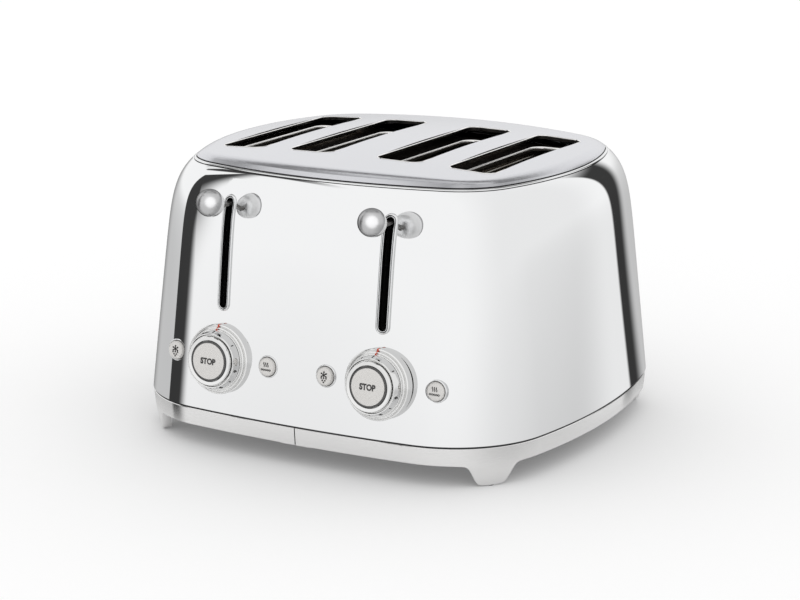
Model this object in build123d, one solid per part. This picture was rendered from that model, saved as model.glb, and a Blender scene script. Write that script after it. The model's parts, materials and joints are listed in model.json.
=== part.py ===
from build123d import *
import math
import os

# Lengths are millimetres and angles degrees. While the pieces are built, x = y = 0 is the
# centre of the housing, the front faces -Y, and z = 0 is the table it stands on.

# Housing: a bowed rounded rectangle that tapers upwards and rolls in at its shoulder
shell_corner_radius = 76.5
shell_front_bow = 14.0
shell_side_bow = 28.0
seam_height = 28.7
front_taper = 19.0
side_taper = 13.8
shoulder_roll = 11.5
shoulder_power = 13.0
rim_corner_radius = 47.6
rim_front_bow = 29.8
rim_side_bow = 37.2
shell_wall = 1.2
section_step = 0.08
sections_below_rim = 13
sections = 15

# Top plate
top_height = 206.6
rim_drop = 9.3
crown_radius = 1900.0
plate_edge_radius = 14.0
top_wall = 1.4
rim_gap = 0.4
slot_lip_wall = 1.2
slot_lip_depth = 2.6

# Bread slots
slot_width = 35.6
slot_length = 146.2
slot_corner_radius = 8.0
inner_slot_x = 35.4
outer_slot_x = 92.1

# Base band, feet and closing plate
seam_gap = 0.5
band_bottom = 15.8
band_step = 0.4
band_draft = 1.0
band_wall = 2.6
lip_wall = 1.6
lip_rise = 4.0
lip_root = 2.0
ledge_width = 11.0
ledge_thickness = 2.0
half_joint_gap = 0.3
foot_root_width = 31.5
foot_root_fillet = 6.0
foot_tip_width = 21.0
foot_tip_fillet = 3.2
foot_inset = 2.9
foot_depth = 13.0
pad_radius = 4.6
pad_drop = 0.8
pad_thickness = 2.6
bottom_sheet = 1.2
vent_length = 34.0
vent_width = 3.0
screw_head_radius = 3.0
screw_head_height = 2.0
screw_head_bevel = 0.8
screw_radius = 1.5
screw_edge = 2.0
screw_spacing = 60.0

# Cord bushing
gland_radius = 4.8
gland_flange_radius = 5.8
gland_bore_radius = 3.6
gland_reach = 5.0
gland_length = 12.0
gland_bevel = 1.0

# Crumb trays
tray_inner_x = 12.5
tray_side_gap = 6.0
tray_sheet = 1.0
tray_wall_height = 6.5
tray_grip_width = 46.0
tray_grip_reach = 2.4
tray_grip_height = 2.5
tray_grip_drop = 1.0
tray_end_gap = 3.0

# Oven chamber
chamber_side_gap = 29.9
chamber_end_gap = 5.9
chamber_sheet = 1.0
mouth_side_inset = 0.6
mouth_end_inset = 9.1
mouth_rise = 1.2
side_room = 43.0
front_room = 73.0
chamber_drop = 2.3
chamber_foot = 26.0
reflector_bottom = 32.0
heater_gap = 5.6
heater_thickness = 1.2
heater_bottom = 50.0
heater_drop = 8.0
ribbon_turns = 12
ribbon_height = 1.6
ribbon_proud = 0.35
ribbon_end = 5.0

# Bread guides
guide_pivot_drop = 5.0
guide_bottom = 63.0
guide_inset = 1.3
guide_rail_radius = 1.0
guide_bars = 8
guide_bar_width = 2.0
guide_bar_thickness = 1.0
guide_bar_span = 130.0

# Lever slits and bezels
slit_top_drop = 18.5
slit_width = 6.0
bezel_rim = 2.3
bezel_sleeve_wall = 0.8
bezel_proud = 1.5
bezel_step = 0.6
bezel_tail = 2.5
liner_flange = 4.0
liner_wall = 1.0
liner_depth = 12.0

# Lever, carriage and bread racks
arm_width = 4.5
arm_height = 2.0
arm_end_gap = 2.5
arm_bend = 15.5
knob_reach = 25.0
knob_tilt = 25.0
knob_radius = 9.6
knob_skirt_radius = 8.6
knob_skirt_back = 5.0
knob_rear_radius = 6.2
knob_rear_back = 7.6
knob_neck_radius = 3.4
knob_neck_back = 8.8
knob_pin_radius = 1.6
knob_pin_depth = 6.0
knob_pin_root = 2.0
rod_offset = 6.0
rod_radius = 2.0
rod_bevel = 0.4
rod_end_drop = 8.0
rod_end_proud = 3.0
rod_foot_proud = 6.0
rod_tab_sheet = 1.5
rod_tab_half_width = 9.0
rod_tab_reach = 8.0
lower_tab_height = 36.0
sleeve_radius = 4.0
sleeve_length = 58.0
carriage_sheet = 1.5
carriage_gap = 6.0
carriage_half_width = 34.0
carriage_neck = 18.0
carriage_rise = 5.0
carriage_drop = 1.0
rack_drop = 80.6
rack_low_height = 49.2
rack_depth = 8.0
rack_blade = 2.0
rack_tail = 4.0
rack_clearance = 1.5
rack_end = 12.0
rack_wing = 6.5
rack_wings = 9
rack_wing_length = 3.0
rack_slit_width = 5.0
latch_half_width = 9.0
latch_offset = 23.0
latch_reach = 16.0
latch_thickness = 2.0
magnet_gap = 0.4
magnet_coil_radius = 6.5
magnet_stand_sheet = 1.5
magnet_yoke_drop = 4.0
magnet_yoke_thickness = 2.0
spring_radius = 3.0
spring_wire = 0.8
spring_pitch = 2.1
spring_offset = 14.0
spring_lug_drop = 17.3
spring_lug_edge = 1.0

# Dials and buttons, square to the sloping front
control_height = 67.5
button_spacing = 40.5
flange_radius = 24.5
flange_height = 7.5
flange_bore = 9.3
dial_radius = 20.6
dial_front_radius = 19.2
dial_lip_height = 13.4
dial_groove_depth = 2.8
dial_cap_radius = 17.2
dial_cap_height = 15.4
dial_hub_radius = 9.25
dial_hole_gap = 2.0
drill_length = 30.0
stop_radius = 12.9
stop_ring_radius = 14.2
stop_height = 16.2
stop_ring_drop = 1.3
stop_travel = 2.0
stop_rod_radius = 3.9
cap_radius = 6.6
cap_height = 3.4
cap_crown = 0.3
cap_edge = 1.0
cap_travel = 1.5
cap_skirt = 3.0
cap_stem_radius = 1.9
button_bezel_radius = 7.9
button_bezel_height = 1.2
button_tube_wall = 0.5
button_tube_length = 4.0
button_bezel_root = 2.0
bezel_bevel = 0.4
frame_depth = 21.0
frame_sheet = 2.0
frame_post_radius = 3.0
board_depth = 28.0
board_sheet = 1.6
board_half_width = 50.0
board_half_height = 27.0
sensor_radius = 13.0
sensor_height = 3.4
switch_size = 6.0
switch_height = 0.8

# Clearances
running_gap = 0.05
sliding_gap = 0.2
body_gap = 0.3
reach = 400.0

# Sizes that follow from the ones above
lever_x = (inner_slot_x + outer_slot_x) / 2
chamber_half_width = outer_slot_x + chamber_side_gap
chamber_half_length = slot_length / 2 + chamber_end_gap
shell_half_width = chamber_half_width + side_room
shell_half_depth = chamber_half_length + front_room
rim_height = top_height - rim_drop
band_top = seam_height - seam_gap
ledge_top = band_bottom + ledge_thickness
floor_height = ledge_top + bottom_sheet
chamber_top_height = rim_height - chamber_drop
heater_top = chamber_top_height - heater_drop
guide_pivot_height = chamber_top_height - guide_pivot_drop
guide_offset = slot_width / 2 - guide_inset
heater_offset = slot_width / 2 + heater_gap
rack_top = top_height - rack_drop
rack_bottom = rack_top - rack_depth
lever_travel = rack_bottom - rack_low_height
slit_top = rim_height - slit_top_drop
slit_bottom = slit_top - lever_travel - arm_height - 2 * arm_end_gap
arm_centre = slit_top - arm_end_gap - arm_height / 2
carriage_y = -chamber_half_length - chamber_sheet - carriage_gap
carriage_low = rack_bottom - carriage_drop
rod_y = carriage_y - rod_offset
rod_top = chamber_top_height - rod_end_drop
rod_bottom = lower_tab_height - rod_foot_proud
upper_tab_height = rod_top - rod_end_proud
spring_lug_height = arm_centre - spring_lug_drop
tray_floor = floor_height + body_gap
tray_outer_x = chamber_half_width - tray_side_gap
slope = math.degrees(math.atan(front_taper / (rim_height - seam_height)))
section_shares = [1.0 + section_step * (step - sections_below_rim) for step in range(sections)]
slots = {"left_outer": -outer_slot_x, "left_inner": -inner_slot_x,
         "right_inner": inner_slot_x, "right_outer": outer_slot_x}


def corner_geometry(half_x, half_y, corner, bow_x, bow_y):
    """Centre of the corner arc, and the directions in which it meets the front and side arcs."""
    front_radius = (half_x**2 + bow_x**2) / (2 * bow_x)
    side_radius = (half_y**2 + bow_y**2) / (2 * bow_y)
    front_centre = Vector(0, half_y - front_radius)
    side_centre = Vector(half_x - side_radius, 0)
    span = side_centre - front_centre
    front_reach = front_radius - corner
    along = (front_reach**2 - (side_radius - corner)**2 + span.length**2) / (2 * span.length)
    across = math.sqrt(front_reach**2 - along**2)
    unit = span.normalized()
    centre = front_centre + unit * along + Vector(unit.Y, -unit.X) * across
    return centre, (centre - front_centre).normalized(), (centre - side_centre).normalized()


def bowed_outline(half_x, half_y, corner, bow_x, bow_y, height):
    """Closed wire of eight arcs: a rounded rectangle whose four sides bow outwards."""
    centre, front_way, side_way = corner_geometry(half_x, half_y, corner, bow_x, bow_y)
    front = centre + front_way * corner
    side = centre + side_way * corner
    middle = centre + (front_way + side_way).normalized() * corner
    ways = ((-front.X, -front.Y), (0, -half_y), (front.X, -front.Y), (middle.X, -middle.Y),
            (side.X, -side.Y), (half_x, 0), (side.X, side.Y), (middle.X, middle.Y),
            (front.X, front.Y), (0, half_y), (-front.X, front.Y), (-middle.X, middle.Y),
            (-side.X, side.Y), (-half_x, 0), (-side.X, -side.Y), (-middle.X, -middle.Y))
    points = [Vector(x, y, height) for x, y in ways]
    arcs = [Edge.make_three_point_arc(points[i], points[i + 1], points[(i + 2) % 16])
            for i in range(0, 16, 2)]
    return Wire(arcs)


def housing_sizes(share, offset):
    """Sizes of the housing's outline at a share of the way from the seam to the rim."""
    within = min(max(share, 0.0), 1.0)
    roll = shoulder_roll * (within**shoulder_power + shoulder_power * max(share - 1, 0.0))
    bend = (front_taper * share + roll) / (front_taper + shoulder_roll)
    half_x = shell_half_width - side_taper * share - roll - offset
    half_y = shell_half_depth - front_taper * share - roll - offset
    corner = shell_corner_radius + (rim_corner_radius - shell_corner_radius) * bend - offset
    bow_x = shell_front_bow + (rim_front_bow - shell_front_bow) * bend
    bow_y = shell_side_bow + (rim_side_bow - shell_side_bow) * bend
    return half_x, half_y, corner, bow_x, bow_y


def wall_form(offset):
    """Solid inside the housing's outer surface moved inwards by offset, open-ended upwards."""
    rise = rim_height - seam_height
    return Solid.make_loft([bowed_outline(*housing_sizes(share, offset), seam_height + share * rise)
                            for share in section_shares])


def crowned_form(offset):
    """The wall form closed by the crowned top, with its edge rolled over."""
    ball = Pos(0, 0, top_height - crown_radius) * Rot(90, 0, 0) * Sphere(crown_radius - offset)
    body = wall_form(offset) & ball
    crown = body.faces().filter_by(GeomType.SPHERE)[0]
    return fillet(crown.edges(), plate_edge_radius - offset)


def front_y(x, height):
    """Where the housing's front surface lies at a given x and height."""
    share = (height - seam_height) / (rim_height - seam_height)
    half_x, half_y, corner, bow_x, bow_y = housing_sizes(share, 0)
    centre, front_way, side_way = corner_geometry(half_x, half_y, corner, bow_x, bow_y)
    if abs(x) > centre.X + front_way.X * corner:
        return -centre.Y - math.sqrt(corner**2 - (abs(x) - centre.X)**2)
    radius = (half_x**2 + bow_x**2) / (2 * bow_x)
    return radius - half_y - math.sqrt(radius**2 - x**2)


def slab(low, high):
    return Pos(0, 0, (low + high) / 2) * Box(reach, reach, high - low)


def block(x_low, x_high, y_low, y_high, z_low, z_high):
    middle = Pos((x_low + x_high) / 2, (y_low + y_high) / 2, (z_low + z_high) / 2)
    return middle * Box(x_high - x_low, y_high - y_low, z_high - z_low)


def turned(profile):
    """Solid of revolution about Z from a closed outline of (radius, height) points."""
    return revolve(make_face(Plane.XZ * Polyline(profile, close=True)), Axis.Z)


def rod(x, z, radius, y_low, y_high):
    """Round bar along Y."""
    return Pos(x, (y_low + y_high) / 2, z) * Rot(90, 0, 0) * Cylinder(radius, y_high - y_low)


def upright_slot(x, extra):
    """Prism along Y through the front, the lever slit grown all round by extra."""
    plane = Plane(origin=(x, carriage_y, (slit_bottom + slit_top) / 2),
                  x_dir=(0, 0, 1), z_dir=(0, -1, 0))
    outline = SlotOverall(slit_top - slit_bottom + 2 * extra, slit_width + 2 * extra)
    return extrude(plane * outline, shell_half_depth)


def bread_slot(x, extra, low, high):
    """Upright prism of one bread slot grown all round by extra."""
    outline = RectangleRounded(slot_width + 2 * extra, slot_length + 2 * extra,
                               slot_corner_radius + extra)
    return extrude(Pos(x, 0, low) * outline, high - low)


def chamber_mouth(x, extra, low, high):
    """Upright prism of a slot in the chamber's top sheet grown all round by extra."""
    outline = RectangleRounded(slot_width - 2 * mouth_side_inset + 2 * extra,
                               slot_length - 2 * mouth_end_inset + 2 * extra,
                               slot_corner_radius + extra)
    return extrude(Pos(x, 0, low) * outline, high - low)


def control_place(x):
    """Local frame on the front surface: Z points out of it, X to the right."""
    lean = math.radians(slope)
    return Plane(origin=(x, front_y(x, control_height), control_height),
                 x_dir=(1, 0, 0), z_dir=(0, -math.cos(lean), math.sin(lean)))


def button_shift(x):
    """How far a button beside the dial stands back from the dial's own place."""
    back = front_y(x, control_height) - front_y(lever_x, control_height)
    return -back * math.cos(math.radians(slope))


def button_place(x):
    """Local frame of a small button, level with the dial and on the surface."""
    dial = control_place(lever_x)
    return Plane(origin=dial.from_local_coords((x - lever_x, 0, button_shift(x))),
                 x_dir=dial.x_dir, z_dir=dial.z_dir)


def mirrored(shape):
    return mirror(shape, about=Plane.YZ)


def group(shapes):
    """One node made of separate solids."""
    return Compound([solid for shape in shapes for solid in shape.solids()])


def front_patch(offset):
    """The part of the wall form behind the right group of controls."""
    middle = (slit_top + rim_height) / 2
    return wall_form(offset) & block(0.5, lever_x + board_half_width + 5, -reach / 2,
                                     carriage_y - 20, seam_height, middle)


outer_wall = wall_form(0)
inner_wall = wall_form(shell_wall)
outer_patch = front_patch(0)
inner_patch = front_patch(shell_wall)
button_x = (lever_x - button_spacing, lever_x + button_spacing)


def body_shell():
    """Polished wall with its lever slits, dial holes and button holes."""
    wall = (outer_wall - inner_wall) & slab(seam_height, rim_height)
    cuts = [upright_slot(lever_x, bezel_sleeve_wall + running_gap),
            control_place(lever_x).location * Cylinder(dial_hub_radius + dial_hole_gap, drill_length)]
    button_hole = cap_radius + sliding_gap + button_tube_wall + running_gap
    for x in button_x:
        cuts.append(button_place(x).location * Cylinder(button_hole, drill_length))
    return wall - cuts - [mirrored(cut) for cut in cuts]


def top_plate():
    """Crowned plate with four slots, whose edges are turned down."""
    lips = [bread_slot(x, slot_lip_wall, rim_height, top_height) for x in slots.values()]
    openings = [bread_slot(x, 0, rim_height, top_height + 1) for x in slots.values()]
    above_rim = slab(rim_height, top_height + 1)
    outside = crowned_form(0) & slab(rim_height + rim_gap, top_height + 1)
    inside = (crowned_form(top_wall) & above_rim) - lips
    under_lips = crowned_form(slot_lip_depth) & above_rim
    return outside - [inside, under_lips] - openings


def band_outline(height, offset):
    """Outline of the base band or its feet at a height, moved inwards by offset."""
    drop = max(band_top - max(height, band_bottom), 0) / (band_top - band_bottom)
    inset = band_step + band_draft * drop + offset
    inset = inset + foot_inset * max(band_bottom - height, 0) / band_bottom
    return bowed_outline(shell_half_width - inset, shell_half_depth - inset,
                         shell_corner_radius - inset, shell_front_bow, shell_side_bow, height)


def band_form(low, high, offset):
    return Solid.make_loft([band_outline(low, offset), band_outline(high, offset)], ruled=True)


def lip_form(offset):
    """Upright prism that fits inside the shell's lower edge."""
    low = bowed_outline(*housing_sizes(0, shell_wall + body_gap + offset), ledge_top)
    share = lip_rise / (rim_height - seam_height)
    high = bowed_outline(*housing_sizes(share, shell_wall + body_gap + offset),
                         seam_height + lip_rise)
    return Solid.make_loft([low, high], ruled=True)


def corner_way():
    """Direction from the housing's centre line to its front right corner, and the corner's centre."""
    sizes = (shell_half_width, shell_half_depth, shell_corner_radius, shell_front_bow, shell_side_bow)
    centre, front_way, side_way = corner_geometry(*sizes)
    way = (front_way + side_way).normalized()
    return centre, way


def foot_prism():
    """Prism through the rear right corner: a foot that tapers from a filleted root to a rounded tip."""
    centre, way = corner_way()
    plane = Plane(origin=(centre.X, centre.Y, 0), x_dir=(-way.Y, way.X, 0), z_dir=(way.X, way.Y, 0))
    root, tip = foot_root_width / 2, foot_tip_width / 2
    wide = root + foot_root_fillet
    outline = make_face(Polyline((-wide, ledge_top), (-wide, band_bottom), (-root, band_bottom),
                                 (-tip, pad_drop), (tip, pad_drop), (root, band_bottom),
                                 (wide, band_bottom), (wide, ledge_top), close=True)).face()
    tips = outline.vertices().group_by(Axis.Y)[0]
    outline = outline.fillet_2d(foot_tip_fillet, tips)
    roots = outline.vertices().group_by(Axis.Y)[-2].sort_by(Axis.X)[1:-1]
    outline = outline.fillet_2d(foot_root_fillet, roots)
    return extrude(plane * outline, shell_corner_radius * 2)


def pad_place():
    centre, way = corner_way()
    inset = band_step + band_draft + foot_inset + foot_depth / 2
    spot = centre + way * (shell_corner_radius - inset)
    return spot.X, spot.Y


def four_corners(shape):
    right = [shape, mirror(shape, about=Plane.XZ)]
    return right + [mirrored(one) for one in right]


def base_band():
    """The whole band with its lip, ledge and feet, before it is cut into halves."""
    band = band_form(band_bottom, band_top, 0) - band_form(band_bottom - 1, band_top + 1, band_wall)
    ledge = band_form(band_bottom, ledge_top, 0.1) - band_form(band_bottom - 1, ledge_top + 1, ledge_width)
    lip = (lip_form(0) - lip_form(lip_wall)) & slab(band_top - lip_root, seam_height + lip_rise - body_gap)
    shelf = band_form(band_bottom, band_top, 0.1) - lip_form(lip_wall)
    shelf = shelf & slab(band_top - lip_root, band_top)
    band = band + ledge + lip + shelf
    leg = band_form(pad_drop, ledge_top, 0.02) - band_form(0, ledge_top + 1, foot_depth)
    leg = leg & foot_prism()
    x, y = pad_place()
    leg = leg - Pos(x, y, pad_drop) * Cylinder(pad_radius + running_gap, 2 * (pad_thickness - pad_drop))
    for one in four_corners(leg):
        band = band + one
    return band - rear_cuts() - screw_holes()


def rear_cuts():
    """Windows of the crumb trays and the seat of the cord bushing."""
    y_low = chamber_half_length
    window = block(tray_inner_x - body_gap, tray_outer_x + body_gap, y_low, reach,
                   floor_height, seam_height + lip_rise + 1)
    return [window, mirrored(window), gland_seat()]


def gland_height():
    return (band_bottom + band_top) / 2


def gland_seat():
    """Hole that the bushing sits in."""
    return rod(0, gland_height(), gland_radius + running_gap, rear_y() - gland_length - body_gap, reach)


def rear_y():
    """The band's rear surface at its middle, level with the bushing."""
    share = (band_top - gland_height()) / (band_top - band_bottom)
    return shell_half_depth - band_step - band_draft * share


def cord_gland():
    """Bushing with a flange outside, a waist in the band and a collar inside."""
    out = rear_y()
    inside = out - gland_length
    widest = shell_half_depth - band_step
    body = rod(0, gland_height(), gland_radius, inside, widest + gland_reach / 2)
    flange = rod(0, gland_height(), gland_flange_radius, widest + body_gap, widest + gland_reach)
    flange = chamfer(flange.edges().group_by(Axis.Y)[-1], gland_bevel)
    return body + flange - rod(0, gland_height(), gland_bore_radius, inside - 1, out + gland_reach + 1)


def screw_places():
    inset = band_step + band_draft + band_wall + (ledge_width - band_wall) / 2
    side = shell_half_width - inset - screw_edge
    ends = shell_half_depth - inset - screw_edge
    return [(screw_spacing, -ends), (-screw_spacing, -ends), (screw_spacing, ends),
            (-screw_spacing, ends), (side, 0), (-side, 0)]


def screw_holes():
    return [Pos(x, y, band_bottom) * Cylinder(screw_radius + running_gap, 20) for x, y in screw_places()]


def base_screws():
    """Pan-head screws that hold the closing plate on the ledge."""
    head = band_bottom - screw_head_height
    profile = [(0, head), (screw_head_radius - screw_head_bevel, head),
               (screw_head_radius, head + screw_head_bevel),
               (screw_head_radius, band_bottom), (screw_radius, band_bottom),
               (screw_radius, floor_height), (0, floor_height)]
    screw = turned(profile)
    return group([Pos(x, y, 0) * screw for x, y in screw_places()])


def foot_pads():
    x, y = pad_place()
    pad = Pos(x, y, pad_thickness / 2) * Cylinder(pad_radius, pad_thickness)
    pad = chamfer(pad.edges().group_by(Axis.Z)[0], 0.5)
    return group(four_corners(pad))


def bottom_plate():
    """Closing sheet on the ledge, with rows of vents under the trays."""
    sheet = band_form(ledge_top, floor_height, band_wall + body_gap)
    middle = (tray_inner_x + tray_outer_x) / 2
    vents = []
    for row in (-1, 0, 1):
        for step in (-1, 1):
            vent = Pos(middle + step * vent_length * 0.75, row * slot_length / 3, ledge_top) \
                * SlotOverall(vent_length, vent_width)
            vents.append(extrude(vent, 3 * bottom_sheet, both=True))
    return sheet - vents - [mirrored(vent) for vent in vents] - screw_holes() - gland_seat()


def crumb_tray():
    """Open pan whose rear wall closes the window in the band, with a grip."""
    low, high = tray_floor, tray_floor + tray_wall_height
    front = -chamber_half_length + tray_end_gap
    x_low, x_high = tray_inner_x, tray_outer_x
    window_top = seam_height - body_gap
    outer = band_form(tray_floor, window_top, 0)
    inner = band_form(tray_floor - 1, window_top + 1, band_wall)
    face = (outer - inner) & block(x_low, x_high, 0, reach / 2, low, window_top)
    pan = block(x_low, x_high, front, shell_half_depth, low, high)
    room = block(x_low + tray_sheet, x_high - tray_sheet, front + tray_sheet, shell_half_depth + 1,
                 low + tray_sheet, high + 1)
    pan = (pan - room) & band_form(tray_floor, high, band_wall - 0.5)
    middle = (x_low + x_high) / 2
    grip = (band_form(tray_floor, window_top, -tray_grip_reach)
            - band_form(tray_floor - 1, window_top + 1, 0.5))
    grip = grip & block(middle - tray_grip_width / 2, middle + tray_grip_width / 2, 0, reach / 2,
                        window_top - tray_grip_drop - tray_grip_height, window_top - tray_grip_drop)
    return pan + face + grip


def rack_slits(x, width):
    """Opening that lets a rack travel through an end wall of the chamber."""
    low = rack_low_height - rack_clearance
    high = rack_top + rack_clearance
    return Pos(x, 0, (low + high) / 2) * Box(width, reach, high - low)


def guide_holes():
    holes = []
    for x in slots.values():
        for way in (-1, 1):
            holes.append(rod(x + way * guide_offset, guide_pivot_height,
                             guide_rail_radius + running_gap, -reach / 4, reach / 4))
    return holes


def end_wall():
    """Sheet between the chamber and the rest, at the rear side of the origin."""
    near, far = chamber_half_length, chamber_half_length + chamber_sheet
    wall = block(-chamber_half_width, chamber_half_width, near, far, floor_height, chamber_top_height
                 - chamber_sheet)
    foot = block(-chamber_half_width, chamber_half_width, near, near + chamber_foot, floor_height,
                 floor_height + chamber_sheet)
    wall = wall + foot
    return wall - [rack_slits(x, rack_slit_width) for x in slots.values()] - guide_holes()


def chamber_rear():
    """Rear wall, with windows that the trays slide through."""
    window = block(tray_inner_x - body_gap, tray_outer_x + body_gap, 0, reach / 2, floor_height - 1,
                   tray_floor + tray_wall_height + 1)
    return end_wall() - window - mirrored(window)


def chamber_front():
    """Front wall with the tabs that carry the guide rods and springs."""
    wall = mirror(end_wall(), about=Plane.XZ)
    near = -chamber_half_length - chamber_sheet
    for side in (-1, 1):
        for height, extra in ((lower_tab_height, 0), (upper_tab_height, spring_offset)):
            ends = sorted((side * (lever_x - rod_tab_half_width),
                           side * (lever_x + max(rod_tab_half_width, extra + spring_radius + 1))))
            wall = wall + block(ends[0], ends[1], rod_y - rod_tab_reach, near + chamber_sheet / 2,
                                height, height + rod_tab_sheet)
        wall = wall - Pos(side * lever_x, rod_y, 0) * Cylinder(rod_radius + running_gap, 2 * reach)
    return wall


def chamber_top():
    """Sheet across the chamber, with a mouth under each slot whose edge is turned up."""
    depth = chamber_half_length + chamber_sheet
    low, high = chamber_top_height - chamber_sheet, chamber_top_height + mouth_rise
    sheet = block(-chamber_half_width, chamber_half_width, -depth, depth, low, chamber_top_height)
    rims = [chamber_mouth(x, chamber_sheet, low, high) for x in slots.values()]
    return sheet + rims - [chamber_mouth(x, 0, low - 1, high + 1) for x in slots.values()]


def side_reflectors():
    """Bright sheets that close the two sides of the chamber."""
    sheet = block(chamber_half_width - chamber_sheet, chamber_half_width, -chamber_half_length,
                  chamber_half_length, reflector_bottom, chamber_top_height - chamber_sheet)
    return group([sheet, mirrored(sheet)])


def heater(x):
    """Mica board wound with flat heating ribbon on both faces."""
    board = block(x - heater_thickness / 2, x + heater_thickness / 2, -chamber_half_length,
                  chamber_half_length, heater_bottom, heater_top)
    step = (heater_top - heater_bottom) / (ribbon_turns + 1)
    half = heater_thickness / 2 + ribbon_proud
    end = chamber_half_length - ribbon_end
    for turn in range(1, ribbon_turns + 1):
        height = heater_bottom + turn * step
        board = board + block(x - half, x + half, -end, end, height, height + ribbon_height)
    return board


def bread_guide(x):
    """Hinged grille: a pivot rail, upright bars and a foot rail."""
    reach_y = chamber_half_length + chamber_sheet
    guide = rod(x, guide_pivot_height, guide_rail_radius, -reach_y, reach_y)
    span = guide_bar_span / (guide_bars - 1)
    half = guide_bar_span / 2 + guide_bar_width
    guide = guide + rod(x, guide_bottom, guide_rail_radius, -half, half)
    for bar in range(guide_bars):
        y = -guide_bar_span / 2 + bar * span
        guide = guide + block(x - guide_bar_thickness / 2, x + guide_bar_thickness / 2,
                              y - guide_bar_width / 2, y + guide_bar_width / 2,
                              guide_bottom, guide_pivot_height)
    return guide


def lever_bezel():
    """Raised two-step rim round the slit, with a sleeve through the shell."""
    low = front_patch(-bezel_proud + bezel_step)
    high = front_patch(-bezel_proud)
    tail = front_patch(shell_wall + bezel_tail)
    hole = upright_slot(lever_x, 0)
    rim = (upright_slot(lever_x, bezel_rim) & low) - outer_patch
    ridge = (upright_slot(lever_x, bezel_rim - bezel_step) & high) - outer_patch
    sleeve = (upright_slot(lever_x, bezel_sleeve_wall) & low) - tail
    return rim + ridge + sleeve - hole


def slot_liner():
    """Black chute behind the slit, flanged against the shell's inner face."""
    gap = bezel_sleeve_wall + running_gap
    flange = (upright_slot(lever_x, gap + liner_flange) & inner_patch) - front_patch(shell_wall + liner_wall)
    chute = (upright_slot(lever_x, gap + liner_wall) & inner_patch) - front_patch(shell_wall + liner_depth)
    return flange + chute - upright_slot(lever_x, gap)


def knob_centre():
    """Centre of the ball in front of the slit's upper end."""
    surface = front_y(lever_x, arm_centre)
    return surface - knob_reach, arm_centre + (knob_reach - arm_bend) * math.tan(math.radians(knob_tilt))


def knob_place():
    y, z = knob_centre()
    lean = math.radians(knob_tilt)
    return Plane(origin=(lever_x, y, z), x_dir=(1, 0, 0), z_dir=(0, -math.cos(lean), math.sin(lean)))


def lever_knob():
    """Ball with a full rounded skirt behind it, bored for the pin of the arm."""
    slant = knob_radius * math.sqrt(0.5)
    ball = ThreePointArc((0, knob_radius), (slant, slant), (knob_radius, 0))
    skirt = TangentArc((knob_radius, 0), (knob_skirt_radius, -knob_skirt_back), tangent=(0, -1))
    rear = TangentArc(skirt @ 1, (knob_rear_radius, -knob_rear_back), tangent=skirt % 1)
    neck = Polyline((knob_rear_radius, -knob_rear_back), (knob_neck_radius, -knob_neck_back),
                    (0, -knob_neck_back), (0, knob_radius))
    body = revolve(Plane.XZ * make_face(Curve() + [ball, skirt, rear, neck]), Axis.Z)
    bore = Pos(0, 0, knob_pin_depth / 2 - knob_neck_back) \
        * Cylinder(knob_pin_radius + running_gap, knob_pin_depth)
    return knob_place().location * (body - bore)


def lever_arm():
    """Flat strip from the carriage through the slit, bent up to the pin that holds the knob."""
    surface = front_y(lever_x, arm_centre)
    bend_y = surface - arm_bend
    lean = math.radians(knob_tilt)
    end_y = knob_centre()[0] + (knob_neck_back + body_gap) * math.cos(lean)
    end_z = arm_centre + (bend_y - end_y) * math.tan(lean)
    half = arm_height / 2
    points = [(rod_y, arm_centre - half), (bend_y, arm_centre - half), (end_y, end_z - half),
              (end_y, end_z + half), (bend_y, arm_centre + half), (rod_y, arm_centre + half)]
    face = make_face(Polyline([(lever_x, y, z) for y, z in points], close=True))
    bar = extrude(face, arm_width / 2, both=True, dir=(1, 0, 0))
    pin_top = knob_pin_depth - knob_neck_back - sliding_gap
    pin_end = -knob_neck_back - body_gap - knob_pin_root
    pin = Pos(0, 0, (pin_top + pin_end) / 2) * Cylinder(knob_pin_radius, pin_top - pin_end)
    return bar + knob_place().location * pin


def carriage():
    """Sliding plate with its sleeve on the rod, lever arm, latch plate and spring lug."""
    back, front = carriage_y, carriage_y - carriage_sheet
    low = carriage_low
    plate = block(lever_x - carriage_half_width, lever_x + carriage_half_width, front, back,
                  low, rack_top + carriage_rise)
    neck = block(lever_x - carriage_neck, lever_x + carriage_neck, front, back, low, arm_centre)
    sleeve_top = arm_centre + arm_height / 2
    sleeve = Pos(lever_x, rod_y, sleeve_top - sleeve_length / 2) * Cylinder(sleeve_radius, sleeve_length)
    web = block(lever_x - rod_radius, lever_x + rod_radius, rod_y, back, sleeve_top - sleeve_length,
                arm_centre)
    latch_x = lever_x - latch_offset
    latch = block(latch_x - latch_half_width, latch_x + latch_half_width, front - latch_reach, back,
                  low, low + latch_thickness)
    lug_x = lever_x + spring_offset
    lug = block(lug_x - spring_radius, lug_x + spring_radius, rod_y - spring_radius - spring_lug_edge,
                back, spring_lug_height, spring_lug_height + carriage_sheet)
    body = plate + neck + sleeve + web + latch + lug + lever_arm()
    return body - Pos(lever_x, rod_y, 0) * Cylinder(rod_radius + running_gap, 2 * reach)


def bread_rack(x):
    """Upright blade with cross wings that the bread stands on."""
    back = chamber_half_length + chamber_sheet + rack_tail
    blade = block(x - rack_blade / 2, x + rack_blade / 2, carriage_y, back, rack_bottom, rack_top)
    notch = block(x - rack_blade, x + rack_blade, chamber_half_length - rack_end / 2, back + 1,
                  rack_top - rack_depth / 2, rack_top + 1)
    blade = blade - notch
    span = 2 * (chamber_half_length - rack_end)
    for wing in range(rack_wings):
        y = -span / 2 + wing * span / (rack_wings - 1)
        blade = blade + block(x - rack_wing, x + rack_wing, y - rack_wing_length / 2,
                              y + rack_wing_length / 2, rack_top - rack_blade / 2, rack_top)
    return blade


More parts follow.
